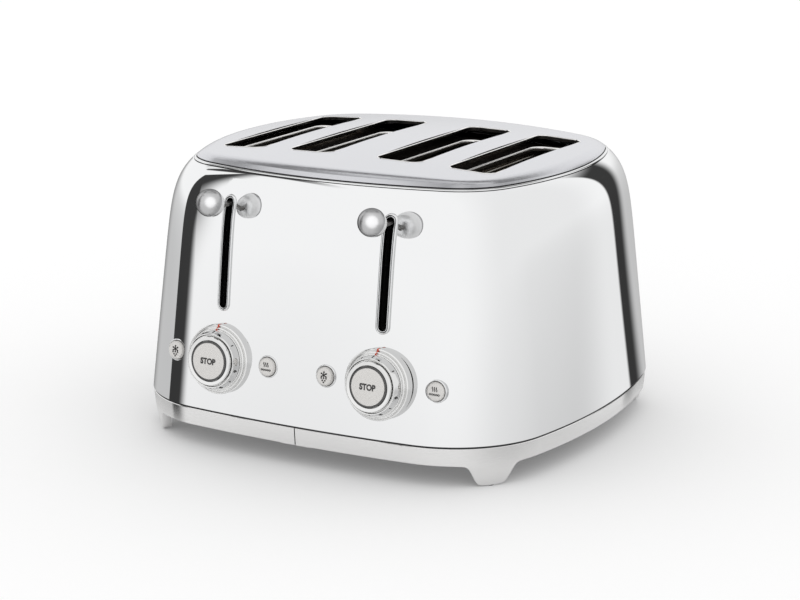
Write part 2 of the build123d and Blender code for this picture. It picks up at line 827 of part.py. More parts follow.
def guide_rods():
    pin = Pos(lever_x, rod_y, (rod_bottom + rod_top) / 2) * Cylinder(rod_radius, rod_top - rod_bottom)
    pin = chamfer(pin.edges(), rod_bevel)
    return group([mirrored(pin), pin])


def latch_magnet():
    """Holding magnet on the foot of the front wall: stand, coil and pole."""
    x = lever_x - latch_offset
    y = carriage_y - carriage_sheet - latch_reach / 2
    low = floor_height + chamber_sheet
    top = carriage_low - lever_travel - magnet_gap
    y_front = y - latch_reach / 2 + 1
    yoke_top = top - magnet_yoke_drop
    stand = block(x - latch_half_width, x + latch_half_width, y_front, y_front + magnet_stand_sheet,
                  low, yoke_top)
    foot = block(x - latch_half_width, x + latch_half_width, y_front, y + latch_reach / 2 - 2,
                 low, low + magnet_stand_sheet)
    coil = Pos(x, y, (low + top) / 2 + magnet_yoke_drop) * Cylinder(magnet_coil_radius, (top - low) / 2)
    pole = Pos(x, y, (low + top) / 2) * Cylinder(magnet_coil_radius / 2, top - low)
    yoke = block(x - latch_half_width + 2, x + latch_half_width - 2, y_front, y,
                 yoke_top - magnet_yoke_thickness, yoke_top)
    return stand + foot + coil + pole + yoke


def return_spring():
    """Extension spring between the upper tab and the carriage's lug."""
    low = spring_lug_height + carriage_sheet + body_gap + spring_wire / 2
    high = upper_tab_height - body_gap - spring_wire / 2
    path = Helix(pitch=spring_pitch, height=high - low, radius=spring_radius)
    wire = Plane(origin=path @ 0, z_dir=path % 0) * Rectangle(spring_wire, spring_wire)
    coil = sweep(wire, path=path, is_frenet=True)
    return Pos(lever_x + spring_offset, rod_y, low) * coil


def dial_flange():
    """Fixed stepped escutcheon that seats on the sloping front."""
    top = flange_height
    profile = [(flange_bore, -6), (flange_bore + 1.7, -6), (flange_bore + 1.7, -3),
               (flange_radius, -3), (flange_radius, 2.4), (flange_radius - 0.7, 3.1),
               (flange_radius - 2.0, 3.1), (flange_radius - 2.0, 5.2), (flange_radius - 2.5, 5.8),
               (flange_radius - 3.5, 5.8), (flange_radius - 3.5, top - 0.4),
               (flange_radius - 3.9, top), (flange_bore, top)]
    body = control_place(lever_x).location * turned(profile)
    skirt = control_place(lever_x).location * Cylinder(flange_bore + 1.7, 2 * drill_length)
    return body - (outer_patch - skirt)


def dial():
    """Turning ring with the number band, a groove, the bright cap and a hollow hub."""
    back = flange_height + body_gap
    groove = dial_lip_height - dial_groove_depth
    pocket = stop_height - stop_ring_drop - 2.0 - stop_travel - body_gap
    bore = stop_rod_radius + sliding_gap
    hub_end = -(board_depth - sensor_height - 2 * body_gap)
    profile = [(bore, hub_end), (dial_hub_radius - 0.3, hub_end), (dial_hub_radius, hub_end + 0.3),
               (dial_hub_radius, back), (dial_radius - 0.3, back), (dial_radius, back + 0.3),
               (dial_front_radius, dial_lip_height - 0.8), (dial_front_radius - 0.4, dial_lip_height - 0.2),
               (dial_front_radius - 0.8, dial_lip_height), (dial_front_radius - 1.3, dial_lip_height - 0.6),
               (dial_front_radius - 1.4, groove), (dial_cap_radius + 0.1, groove),
               (dial_cap_radius, dial_cap_height - 0.9), (dial_cap_radius - 0.4, dial_cap_height - 0.3),
               (dial_cap_radius - 1.1, dial_cap_height), (stop_ring_radius + 0.6, dial_cap_height),
               (stop_ring_radius + sliding_gap, dial_cap_height - 0.4),
               (stop_ring_radius + sliding_gap, pocket), (bore, pocket)]
    return control_place(lever_x).location * turned(profile)


def stop_button():
    """Round button in the dial's pocket, on a rod that reaches the board."""
    ring = stop_height - stop_ring_drop
    seat = ring - 2.0
    end = -(board_depth - switch_height - stop_travel - body_gap)
    profile = [(0, stop_height), (stop_radius - 0.7, stop_height - 0.05), (stop_radius, stop_height - 0.6),
               (stop_radius, ring), (stop_ring_radius, ring), (stop_ring_radius, seat),
               (stop_rod_radius, seat), (stop_rod_radius, end), (0, end)]
    return control_place(lever_x).location * turned(profile)


def small_button(x):
    """Domed cap in its bezel, on a stem that reaches the board."""
    end = -(board_depth - switch_height - cap_travel - body_gap) - button_shift(x)
    flat = cap_radius - cap_edge
    dome = ThreePointArc((0, cap_height), (flat / 2, cap_height - cap_crown / 4),
                         (flat, cap_height - cap_crown))
    edge = TangentArc(dome @ 1, (cap_radius, cap_height - cap_crown - cap_edge), tangent=dome % 1)
    rest = Polyline(edge @ 1, (cap_radius, -cap_skirt), (cap_stem_radius, -cap_skirt),
                    (cap_stem_radius, end), (0, end), (0, cap_height))
    cap = revolve(Plane.XZ * make_face(Curve() + [dome, edge, rest]), Axis.Z)
    return button_place(x).location * cap


def button_bezel(x):
    """Raised rim with a tube through the shell."""
    bore = cap_radius + sliding_gap
    outer = bore + button_tube_wall
    rim = button_bezel_radius
    top = button_bezel_height
    profile = [(bore, -button_tube_length), (outer, -button_tube_length), (outer, -button_bezel_root),
               (rim, -button_bezel_root), (rim, top - bezel_bevel), (rim - bezel_bevel, top),
               (bore + bezel_bevel, top), (bore, top - bezel_bevel)]
    place = button_place(x).location
    return place * turned(profile) - (outer_patch - place * Cylinder(outer, 2 * drill_length))


def button_bezels():
    right = [button_bezel(x) for x in button_x]
    return group(right + [mirrored(one) for one in right])


def board_corners():
    x, y = board_half_width - frame_post_radius - 1, board_half_height - frame_post_radius - 1
    return [(-x, -y), (x, -y), (-x, y), (x, y)]


def control_frame():
    """Plastic plate behind the dial, on posts that meet the shell and carry the board."""
    plate = Pos(0, 0, -frame_depth) * Box(2 * board_half_width, 2 * board_half_height, frame_sheet)
    posts = [Pos(x, y, -board_depth / 2) * Cylinder(frame_post_radius, board_depth)
             for x, y in board_corners()]
    body = plate + posts
    body = body - Cylinder(dial_hub_radius + body_gap, reach)
    for x in button_x:
        body = body - Pos(x - lever_x, 0, 0) * Cylinder(cap_stem_radius + body_gap, reach)
    return (control_place(lever_x).location * body) & inner_patch


def control_board():
    """Circuit board with the ring-shaped dial sensor and three switches."""
    front = -board_depth
    sheet = Box(2 * board_half_width, 2 * board_half_height, board_sheet)
    board = Pos(0, 0, front - board_sheet / 2) * sheet
    ring = Cylinder(sensor_radius, sensor_height) - Cylinder(switch_size, 2 * sensor_height)
    sensor = Pos(0, 0, front + sensor_height / 2) * ring
    board = board + sensor
    for x in (0, button_x[0] - lever_x, button_x[1] - lever_x):
        switch = Box(switch_size, switch_size, switch_height)
        board = board + Pos(x, 0, front + switch_height / 2) * switch
    for x, y, wide, high in ((30, -15, 12, 8), (-28, 14, 16, 10), (12, 18, 8, 5)):
        board = board + Pos(x, y, front - board_sheet - 1.5) * Box(wide, high, 3)
    return control_place(lever_x).location * board


def band_halves():
    band = base_band()
    half = half_joint_gap / 2
    right = band & block(half, reach, -reach, reach, -1, reach)
    return right, mirrored(right)


right_band, left_band = band_halves()
rights = {
    "crumb_tray": crumb_tray(),
    "lever_bezel": lever_bezel(),
    "slot_liner": slot_liner(),
    "lever_knob": lever_knob(),
    "carriage": carriage(),
    "dial_flange": dial_flange(),
    "dial": dial(),
    "stop_button": stop_button(),
    "control_frame": control_frame(),
    "control_board": control_board(),
    "latch_magnet": latch_magnet(),
    "return_spring": return_spring(),
}
nodes = {
    "body_shell": body_shell(),
    "top_plate": top_plate(),
    "base_ring_right": right_band,
    "base_ring_left": left_band,
    "foot_pads": foot_pads(),
    "bottom_plate": bottom_plate(),
    "base_screws": base_screws(),
    "cord_gland": cord_gland(),
    "chamber_front": chamber_front(),
    "chamber_rear": chamber_rear(),
    "chamber_top": chamber_top(),
    "side_reflectors": side_reflectors(),
    "guide_rods": guide_rods(),
    "button_bezels": button_bezels(),
    "defrost_button_right": small_button(button_x[0]),
    "reheat_button_right": small_button(button_x[1]),
    "defrost_button_left": mirrored(small_button(button_x[1])),
    "reheat_button_left": mirrored(small_button(button_x[0])),
}
for name, shape in rights.items():
    nodes[name + "_right"] = shape
    nodes[name + "_left"] = mirrored(shape)
for name, x in slots.items():
    middle_way = -1 if x > 0 else 1
    nodes["bread_rack_" + name] = bread_rack(x)
    nodes["bread_guide_" + name + "_wallside"] = bread_guide(x - middle_way * guide_offset)
    nodes["bread_guide_" + name + "_midside"] = bread_guide(x + middle_way * guide_offset)
for side, way in (("left", -1), ("right", 1)):
    nodes["heater_" + side + "_outer"] = heater(way * (outer_slot_x + heater_offset))
    nodes["heater_" + side + "_middle"] = heater(way * lever_x)
    nodes["heater_" + side + "_inner"] = heater(way * (inner_slot_x - heater_offset))

# The origin is at the middle of the finished toaster's footprint, on the table.
boxes = [shape.bounding_box() for shape in nodes.values()]
centre_y = (min(box.min.Y for box in boxes) + max(box.max.Y for box in boxes)) / 2
print("moved in y by", round(-centre_y, 4), "lever travel", round(lever_travel, 3))
os.makedirs("parts", exist_ok=True)
for name, shape in nodes.items():
    export_step(Pos(0, -centre_y, 0) * shape, "parts/" + name + ".step")
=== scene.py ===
import json
from math import asin, cos, pi, radians, sin, sqrt, tan, tau

import bmesh
import bpy
import numpy as np
from mathutils import Matrix, Vector


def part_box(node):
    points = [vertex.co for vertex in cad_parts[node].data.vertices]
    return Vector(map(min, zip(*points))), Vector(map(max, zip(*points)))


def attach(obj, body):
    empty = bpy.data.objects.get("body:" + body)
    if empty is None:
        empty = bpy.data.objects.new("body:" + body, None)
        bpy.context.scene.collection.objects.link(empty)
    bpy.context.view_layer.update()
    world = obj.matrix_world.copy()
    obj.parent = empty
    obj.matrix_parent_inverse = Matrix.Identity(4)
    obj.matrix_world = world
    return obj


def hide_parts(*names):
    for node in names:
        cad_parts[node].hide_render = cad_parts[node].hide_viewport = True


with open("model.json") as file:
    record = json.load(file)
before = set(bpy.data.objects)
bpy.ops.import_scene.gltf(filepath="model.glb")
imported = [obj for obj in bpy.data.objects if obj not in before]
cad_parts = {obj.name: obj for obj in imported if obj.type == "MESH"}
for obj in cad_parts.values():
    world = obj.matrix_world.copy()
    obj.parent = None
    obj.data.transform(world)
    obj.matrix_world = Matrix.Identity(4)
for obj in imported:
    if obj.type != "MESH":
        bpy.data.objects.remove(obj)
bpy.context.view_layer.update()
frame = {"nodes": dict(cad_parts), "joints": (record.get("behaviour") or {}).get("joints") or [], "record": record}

# Lengths are metres in the part's frame, and millimetres where a name or comment says so.
# The front faces -Y and the table is at z = 0.
MM = 0.001
SAME_PLACE = 2e-7
nodes = frame["nodes"]
joints = {joint["name"]: joint for joint in frame["joints"]}
SIDES = ("left", "right")
scene = bpy.context.scene

# Camera, as fitted to the photograph, for a 36 mm sensor
CAMERA_AZIMUTH = 29.505
CAMERA_ELEVATION = 14.352
CAMERA_DISTANCE = 1.62581
CAMERA_TARGET = (-0.00257, 0.08482)
CAMERA_LENS = 99.28

# Housing wall: a bowed rounded rectangle that tapers upwards and rolls in at its shoulder
shell_low, shell_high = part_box("body_shell")
MIDDLE_Y = (shell_low.y + shell_high.y) / 2
SEAM_HEIGHT = shell_low.z
RIM_HEIGHT = shell_high.z
HALF_WIDTH = shell_high.x
HALF_DEPTH = (shell_high.y - shell_low.y) / 2
SHELL_CORNER = 0.0765
SHELL_FRONT_BOW = 0.014
SHELL_SIDE_BOW = 0.028
FRONT_TAPER = 0.019
SIDE_TAPER = 0.0138
SHOULDER_ROLL = 0.0115
SHOULDER_POWER = 13
RIM_CORNER = 0.0476
RIM_FRONT_BOW = 0.0298
RIM_SIDE_BOW = 0.0372
SHELL_WALL = 0.0012
SHELL_ROWS = 44
SHELL_STEPS = (36, 36, 36)
ROW_CROWDING = 1.7
CUT_DEPTH = 0.03
NORMAL_MATCH = 0.96
CALM_LEFT = (-0.069, -0.060)
CALM_RIGHT = (0.112, 0.092)
CALM_HEIGHT = (0.1915, 0.1875)
CALM_SLOPE = 0.235
CALM_TURN = 0.75

# Seams above and below the wall, darkened by black strips as painted shade; insets are measured inward from the
# wall's outline
BASE_SEAM = 0.001
RIM_SEAM = 0.0019
BEAD_HALF_HEIGHT = 0.0008 * sqrt(0.5)
BEAD_PROUD = 0.00045
# The seams' black strips are painted shade.
SHADE_STRIP_INSET = 0.0007
SHADE_STRIP_DEPTH = 0.0022
SHADE_STRIP_RISE = 0.0005
BASE_SHADE_STRIP = (0.0011, 0.0020)
BEAD_STEPS = 12

# Base band with its feet
BAND_BOTTOM = 0.0158
BAND_TOP = SEAM_HEIGHT - 0.0005
BAND_STEP = 0.0004
BAND_DRAFT = 0.001
BAND_WALL = 0.0026
LEDGE_WIDTH = 0.011
LEDGE_THICKNESS = 0.002
LEDGE_LIFT = 0.0001
BAND_EDGE = 0.00035
BAND_JOINT = 0.0008
# Painted shade behind the band's joints: half width, inset, thickness and margin of its dark strips
JOINT_SHADE_STRIP = (0.002, 0.0009, 0.0008, 0.0003)
TRAY_GAP = 0.0003
TRAY_SILL = 0.0032
TRAY_REACH = 0.3
GLAND_HOLE = 0.00485
BAND_ROWS = 8
BAND_STEPS = (40, 150, 40)
FOOT_TURN = radians(49.3)
FOOT_TIP = 0.0002
FOOT_TIP_HALF = 0.0108
FOOT_ROOT_HALF = 0.0178
FOOT_INSET = 0.0029
FOOT_DEPTH = 0.006
FOOT_SOFTNESS = 0.3
PAD_RADIUS = 0.0022
PAD_HEIGHT = 0.0024
PAD_SIDES = 32

# Slit rims, with cross-sections in millimetres outward from the slit's edge and from the wall
SLIT_PROFILE = (
    (0, -2.5), (0, 0.9), (0.12, 1.15), (0.35, 1.2), (0.5, 1.0), (0.55, 0.1), (0.95, 0.1), (1.0, 1.0),
    (1.15, 1.35), (1.4, 1.5), (1.65, 1.4), (1.95, 1.1), (2.2, 0.6), (2.3, 0.0), (2.3, -0.8), (0.8, -0.8),
    (0.8, -2.5))
# Black strip laid in the groove of each slit rim: painted shade
SLIT_GROOVE_PAINTED_SHADE = ((0.52, 0.0), (0.52, 0.32), (0.98, 0.32), (0.98, 0.0))
SLIT_STEPS = 20
SLIT_RUN_STEPS = 40
BEZEL_RIM = 0.0023
SLIT_SLEEVE = 0.00085

# Dials, in millimetres and degrees about the dial's own axis; text is (height, thickness, boldness)
DIAL_HOLE = 11.25
FLANGE_PROFILE = (
    (9.4, 0.2, 0), (9.4, -1.5, 0), (24.5, -1.5, 0), (24.5, 4.3, 0.35), (23.7, 4.9, 0.25), (23.2, 4.6, 0.1),
    (23.0, 4.1, 0.1), (22.6, 4.1, 0.1), (22.6, 5.9, 0.4), (21.8, 6.3, 0.2), (21.5, 5.7, 0.1),
    (21.2, 5.7, 0.1), (21.2, 7.4, 0.4), (9.4, 7.4, 0))
DIAL_PROFILE = (
    (9.3, 7.8, 0), (20.7, 7.8, 0.3), (20.1, 10.0, 1.0), (19.2, 13.0, 0.5), (18.9, 13.6, 0.3),
    (18.3, 13.5, 0.2), (17.9, 12.6, 0.3), (17.7, 11.0, 0.2), (17.3, 11.0, 0.2), (17.3, 14.6, 0.6),
    (16.8, 15.5, 0.4), (14.6, 15.2, 0.3), (14.25, 14.6, 0.2), (14.25, 10.6, 0), (9.3, 10.6, 0))
# Dark ring in the gap round the stop button's face: painted shade
STOP_GAP_SHADE_PROFILE = (
    (12.3, 14.0, 0), (14.1, 14.0, 0), (14.1, 15.0, 0.25), (13.6, 15.25, 0.2), (12.3, 15.25, 0))
STOP_FACE_PROFILE = (
    (0, 5.0, 0), (9.0, 5.0, 0), (9.0, 13.2, 0), (12.7, 13.2, 0), (12.7, 15.9, 0.4), (0, 16.2, 0))
DIAL_STEPS = 128
INDEX_TRAIL = (
    (20.6, 7.4), (21.2, 7.4), (21.6, 5.9), (22.5, 6.1), (22.8, 4.4), (23.7, 4.9), (24.5, 4.3), (24.5, 1.6))
INDEX_HALF_SIZES = (0.6, 0.1)
NUMBER_RADIUS = 20.0
NUMBER_HEIGHT = 10.6
NUMBER_SLANT = 17.0
NUMBER_LIFT = 0.03
NUMBER_TEXT = (3.2, 0.14, 0.035)
NUMBER_TURNS = {"1": 0, "6": 105, "5": 156, "4": 207, "3": 258, "2": 309}
DASH_TURNS = (52, 130.5, 181.5, 232.5, 283.5, 334.5)
DASH_HALF_SIZES = (0.35, 1.0, 0.05)
STOP_TEXT = (4.5, 0.12, 0.045)
STOP_TEXT_WIDTH = 12.3
STOP_TEXT_LEVEL = 16.18

# Small buttons and their signs, in millimetres along the button's own axis
BUTTON_HOLE = 7.35
CAP_FLAT = 5.6
CAP_HEIGHT = 3.4
CAP_PROFILE = ((0, -2.5, 0), (6.5, -2.5, 0), (6.5, 2.0, 0.9), (5.5, 3.3, 1.0), (0, 3.4, 0))
BEZEL_PROFILE = ((6.8, -2.0, 0), (7.9, -2.0, 0), (7.9, 0.6, 0.6), (7.3, 1.3, 0.3), (6.8, 0.7, 0))
SIGN_HEIGHTS = (3.25, 3.47)
STAR_MIDDLE = 1.0
STAR_ARM = 2.1
STAR_LINE = 0.75
DOT_RADIUS = 0.62
DOT_SIDES = 12
DROPS = ((-1.9, -1.2), (1.9, -1.2), (-1.0, -2.7), (1.0, -2.7), (0, -4.0))
WAVES = (-1.5, 0, 1.5)
WAVE_SWING = 0.35
WAVE_FOOT = 0.2
WAVE_RISE = 3.0
WAVE_STEPS = 8
WAVE_LINE = 0.7
RINGS = (-3.2, -1.6, 0, 1.6, 3.2)
RING_RADII = (0.85, 0.35)
RING_SIDES = 16
RING_SQUASH = 0.85
RING_MIDDLE = -1.9

# Knobs, in millimetres from the ball's middle along its own axis
KNOB_RADIUS = 9.6
KNOB_TILT = 25.0
KNOB_SKIRT = ((0, -8.8), (3.4, -8.8), (6.2, -7.6), (7.6, -6.6), (8.6, -5.0))
KNOB_SKIRT_JOIN = -4.0
KNOB_STEPS = 40

# Bread slots, and the mouths in the sheet below them, whose profile is in millimetres; sizes are half
# width, half length and corner radius
TOP_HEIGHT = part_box("top_plate")[1].z
SLOT_MARGIN = 0.012
SLOTS_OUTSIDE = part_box("bread_rack_right_outer")[1].x + SLOT_MARGIN
RACKS = ("left_outer", "left_inner", "right_inner", "right_outer")
SLOT_SIZES = (0.0178, 0.0731, 0.008)
SLOT_BEAD = 0.00045
SLOT_BEAD_STEPS = 10
CROWN_RADIUS = 1.9
MOUTH_SIZES = (0.0172, 0.064, 0.008)
MOUTH_PROFILE = ((-0.1, -1.2), (-0.1, -0.4), (0.1, 0.1), (0.5, 0.5), (0.8, 0.4), (0.9, -1.2))
# Depths under the crown over which the slot lips' painted shade comes in
LIP_TOP = 0.0002
LIP_DEPTH = 0.0005

# What bright metal mirrors: (azimuth, elevation) pairs and azimuths in degrees, and levels of 0 to 1
LEFT_EDGE = -79.5
LEFT_LOWER = ((-58, -8), (-50, 12))
LEFT_UPPER = ((-53, 8), (-72, 42))
LEFT_LINE = ((-88, 43), (-50, 53))
RIGHT_EDGE = ((166.8, -12), (162.5, 3))
RIGHT_END = 175.5
CEILING_ENDS = (-205, -95)
CEILING_LAMPS = (-176, -150, -124)
LAMP_ELEVATION = 60
GAP_LEVEL = 0.045
CEILING_DARK = 0.9
SHADES = {"left": 0.30, "behind": 0.30, "side": 0.10, "low": 0.11, "low_side": 0.16}

# Finishes: where a noise pattern counts as all or nothing
GRAIN_SPAN = (0.3, 0.7)
STAIN_SPAN = (0.42, 0.68)

# Studio
FLOOR_RADIUS = 6.0
FLOOR_SIDES = 96
FLOOR_ALBEDO = 0.86
FLOOR_GLOW = 0.15
MIRRORED_FLOOR = (0.17, 0.24)
SKY_LEVEL = 0.975
REPEAT_LEVEL = 0.75
SPILL_LEVEL = 0.15
KNOB_LAMP_SIZE = 0.84
KNOB_LAMP_DISTANCE = 0.5
KNOB_LAMP_ENERGY = 1.35

LYING = Matrix.Rotation(pi / 2, 4, "X")
IN_PLACE = Matrix.Identity(4)


def direction(azimuth, elevation):
    """Unit vector at an azimuth from -Y towards +X and an elevation, in degrees."""
    a, e = radians(azimuth), radians(elevation)
    return Vector((sin(a) * cos(e), -cos(a) * cos(e), sin(e)))


class Shading:
    """Short calls that add nodes to a material's or the world's tree."""

    def __init__(self, owner):
        owner.use_nodes = True
        self.tree = owner.node_tree
        self.tree.nodes.clear()
        self.way = None

    def add(self, kind, **settings):
        node = self.tree.nodes.new(kind)
        for key, value in settings.items():
            setattr(node, key, value)
        return node

    def put(self, value, socket):
        """Link an output, or set a constant."""
        if isinstance(value, bpy.types.NodeSocket):
            self.tree.links.new(value, socket)
        else:
            socket.default_value = value

    def math(self, operation, first, second=0.0):
        node = self.add("ShaderNodeMath", operation=operation)
        self.put(first, node.inputs[0])
        self.put(second, node.inputs[1])
        return node.outputs[0]

    def product(self, *factors):
        total = factors[0]
        for one in factors[1:]:
            total = self.math("MULTIPLY", total, one)
        return total

    def ramp(self, value, low, high, start=0.0, end=1.0, smooth=True):
        node = self.add("ShaderNodeMapRange", interpolation_type="SMOOTHSTEP" if smooth else "LINEAR")
        for socket, one in zip(node.inputs, (value, low, high, start, end)):
            self.put(one, socket)
        return node.outputs[0]

    def beyond(self, normal, low, high):
        """0 to 1 as the way goes from low to high degrees past the plane with this normal."""
        node = self.add("ShaderNodeVectorMath", operation="DOT_PRODUCT")
        self.put(self.way, node.inputs[0])
        self.put(tuple(normal), node.inputs[1])
        low, high = sin(radians(low)), sin(radians(high))
        return self.ramp(node.outputs["Value"], low, high)

    def past(self, azimuth, low, high):
        """The same, past the upright plane at an azimuth, towards larger azimuths."""
        a = radians(azimuth)
        return self.beyond((cos(a), sin(a), 0), low, high)

    def above(self, low, high):
        """0 to 1 as the way's elevation goes from low to high degrees."""
        return self.beyond((0, 0, 1), low, high)

    def mix(self, factor, first, second):
        """Mix of two colours, which are the node's inputs 6 and 7 and its output 2."""
        node = self.add("ShaderNodeMix", data_type="RGBA")
        for value, number in ((factor, 0), (first, 6), (second, 7)):
            self.put(value, node.inputs[number])
        return node.outputs[2]

    def blend(self, factor, first, second=None):
        """Mix of two shaders, or of one and black."""
        node = self.add("ShaderNodeMixShader")
        for value, socket in zip((factor, first, second), node.inputs):
            if value is not None:
                self.put(value, socket)
        return node.outputs[0]

    def finish(self, kind, shader):
        self.put(shader, self.add(kind).inputs["Surface"])

    def repeats(self):
        """Less than 1 for what is seen over two mirrors, or lights a matt surface over one."""
        path = self.add("ShaderNodeLightPath")
        twice = self.math("COMPARE", path.outputs["Glossy Depth"], 2.0)
        twice.node.inputs[2].default_value = 0.5
        matt = self.math("GREATER_THAN", path.outputs["Diffuse Depth"], 0.5)
        seen = self.ramp(twice, 0, 1, 1.0, REPEAT_LEVEL, smooth=False)
        return self.product(seen, self.ramp(matt, 0, 1, 1.0, SPILL_LEVEL, smooth=False))


def plane(first, second):
    """Normal of the plane through two (azimuth, elevation) directions."""
    return direction(*first).cross(direction(*second)).normalized()


def add_object(name, data):
    """Object in the scene that holds a mesh, a light, a camera or lettering."""
    one = bpy.data.objects.new(name, data)
    scene.collection.objects.link(one)
    return one


def dark_gaps(sh):
    """1 where bright metal mirrors a dark gap between the studio's screens, 0 elsewhere."""
    left_gap = sh.product(
        sh.past(LEFT_EDGE, -0.4, 0.4), sh.beyond(plane(*LEFT_LOWER), -7, 5),
        sh.beyond(plane(*LEFT_UPPER), -3, 3))
    line = plane(*LEFT_LINE)
    left_line = sh.product(
        sh.beyond(line, 2.2, 1.2), sh.beyond(line, -2.2, -1.0), sh.past(-92, -1, 1), sh.past(-44, 1, -14))
    right_gap = sh.product(
        sh.beyond(plane(*RIGHT_EDGE), 0.8, -0.8), sh.past(RIGHT_END, 4, -4), sh.above(34, 16))
    start, end = CEILING_ENDS
    ceiling = sh.product(sh.past(start, -2, 6), sh.past(end, 2, -6), sh.above(36, 44), sh.above(82, 74))
    for azimuth in CEILING_LAMPS:
        lamp = sh.beyond(direction(azimuth, LAMP_ELEVATION), 82, 85)
        ceiling = sh.product(ceiling, sh.math("SUBTRACT", 1.0, lamp))
    dark = sh.product(ceiling, CEILING_DARK)
    for gap in (left_gap, left_line, right_gap):
        dark = sh.math("MAXIMUM", dark, gap)
    return dark


def make_world():
    """White studio: even light on matt surfaces, and dark gaps between the screens that metal mirrors."""
    world = bpy.data.worlds.new("studio")
    scene.world = world
    sh = Shading(world)
    sh.way = sh.add("ShaderNodeTexCoord").outputs["Generated"]

    dark = dark_gaps(sh)
    horizon = sh.above(8, -2)
    side = sh.product(sh.past(50, -20, 40), sh.past(150, 10, -10))
    places = {
        "left": sh.product(sh.past(LEFT_EDGE, 0.4, -0.4), sh.past(-150, -30, 20), horizon),
        "behind": sh.product(sh.past(174, -2, 6), sh.past(250, 0, -30), horizon),
        "side": side, "low": sh.above(0, -9), "low_side": sh.product(side, sh.above(-6, -16))}
    level = SKY_LEVEL
    for name, shade in SHADES.items():
        level = sh.math("SUBTRACT", level, sh.product(places[name], shade))
    mirrored = sh.product(level, sh.ramp(dark, 0, 1, 1.0, GAP_LEVEL, smooth=False), sh.repeats())

    path = sh.add("ShaderNodeLightPath")
    seen = sh.math("MAXIMUM", path.outputs["Is Glossy Ray"], path.outputs["Is Transmission Ray"])
    strength = sh.ramp(seen, 0, 1, 1.0, mirrored, smooth=False)
    background = sh.add("ShaderNodeBackground")
    background.inputs["Color"].default_value = (1, 1, 1, 1)
    sh.put(strength, background.inputs["Strength"])
    sh.finish("ShaderNodeOutputWorld", background.outputs[0])


def look_at(one, target, distance):
    """Aim at a target from a distance, along the photograph's line of sight."""
    back = direction(CAMERA_AZIMUTH, CAMERA_ELEVATION)
    one.location = target + back * distance
    one.rotation_mode = "QUATERNION"
    one.rotation_quaternion = (-back).to_track_quat("-Z", "Y")


def make_camera():
    data = bpy.data.cameras.new("camera")
    data.lens = CAMERA_LENS
    camera = add_object("camera", data)
    x, z = CAMERA_TARGET
    look_at(camera, Vector((x, MIDDLE_Y, z)), CAMERA_DISTANCE)
    scene.camera = camera


def make_knob_lamp(catchers):
    """Soft lamp above the front, caught by the ball knobs alone."""
    lamp = bpy.data.lights.new("knob_lamp", "AREA")
    lamp.shape = "DISK"
    lamp.size = KNOB_LAMP_SIZE
    lamp.energy = KNOB_LAMP_ENERGY
    holder = add_object("knob_lamp", lamp)
    look_at(holder, Vector((0, MIDDLE_Y, RIM_HEIGHT)), KNOB_LAMP_DISTANCE)
    holder.visible_camera = False
    linked = bpy.data.collections.new("knob_lamp_catchers")
    for one in catchers:
        linked.objects.link(one)
    holder.light_linking.receiver_collection = linked


def make_floor():
    """White floor that shows the object's shadow; metal mirrors only its nearest part."""
    mesh = bpy.data.meshes.new("floor")
    shape = bmesh.new()
    bmesh.ops.create_circle(shape, cap_ends=True, radius=FLOOR_RADIUS, segments=FLOOR_SIDES)
    shape.to_mesh(mesh)
    shape.free()
    floor = add_object("floor", mesh)
    material = bpy.data.materials.new("studio_floor")
    sh = Shading(material)
    diffuse = sh.add("ShaderNodeBsdfDiffuse")
    diffuse.inputs["Color"].default_value = (FLOOR_ALBEDO, FLOOR_ALBEDO, FLOOR_ALBEDO, 1)
    glow = sh.add("ShaderNodeEmission")
    glow.inputs["Strength"].default_value = FLOOR_GLOW
    both = sh.add("ShaderNodeAddShader")
    sh.put(diffuse.outputs[0], both.inputs[0])
    sh.put(glow.outputs[0], both.inputs[1])
    glossy = sh.add("ShaderNodeLightPath").outputs["Is Glossy Ray"]
    dimmed = sh.blend(sh.product(glossy, sh.math("SUBTRACT", 1.0, sh.repeats())), both.outputs[0])
    distance = sh.add("ShaderNodeVectorMath", operation="LENGTH")
    sh.put(sh.add("ShaderNodeTexCoord").outputs["Object"], distance.inputs[0])
    far = sh.ramp(distance.outputs["Value"], *MIRRORED_FLOOR)
    clear = sh.add("ShaderNodeBsdfTransparent").outputs[0]
    sh.finish("ShaderNodeOutputMaterial", sh.blend(sh.product(far, glossy), dimmed, clear))
    floor.data.materials.append(material)


def surface(name, color, metallic, roughness, spread, grain, bump=0.0, bump_scale=0.0, stain=None,
            stain_scale=25.0, stretch=(1, 1, 1), edge=1.0, mask=None, masked=None):
    """Principled material whose roughness, colour and relief vary over the surface; its optional mask paints shade
    in a second colour.
    """
    material = bpy.data.materials.new(name)
    sh = Shading(material)
    shader = sh.add("ShaderNodeBsdfPrincipled")
    shader.inputs["Metallic"].default_value = metallic
    shader.inputs["Specular Tint"].default_value = (edge, edge, edge, 1)
    place = sh.add("ShaderNodeTexCoord").outputs["Object"]
    stretched = sh.add("ShaderNodeMapping")
    stretched.inputs["Scale"].default_value = stretch
    sh.put(place, stretched.inputs["Vector"])

    def noise(scale, detail=3.0):
        node = sh.add("ShaderNodeTexNoise")
        sh.put(stretched.outputs[0], node.inputs["Vector"])
        node.inputs["Scale"].default_value = scale
        node.inputs["Detail"].default_value = detail
        return node.outputs["Fac"]

    rough = sh.ramp(noise(grain), *GRAIN_SPAN, max(roughness - spread, 0.0), roughness + spread)
    base = (*color, 1)
    if stain:
        base = sh.mix(sh.ramp(noise(stain_scale, 5.0), *STAIN_SPAN), base, (*stain, 1))
    if mask:
        base = sh.mix(mask(sh, place), base, (*masked, 1))
    sh.put(rough, shader.inputs["Roughness"])
    sh.put(base, shader.inputs["Base Color"])
    if bump:
        relief = sh.add("ShaderNodeBump")
        relief.inputs["Distance"].default_value = bump
        sh.put(noise(bump_scale, 2.0), relief.inputs["Height"])
        sh.put(relief.outputs[0], shader.inputs["Normal"])
    sh.finish("ShaderNodeOutputMaterial", shader.outputs[0])
    return material


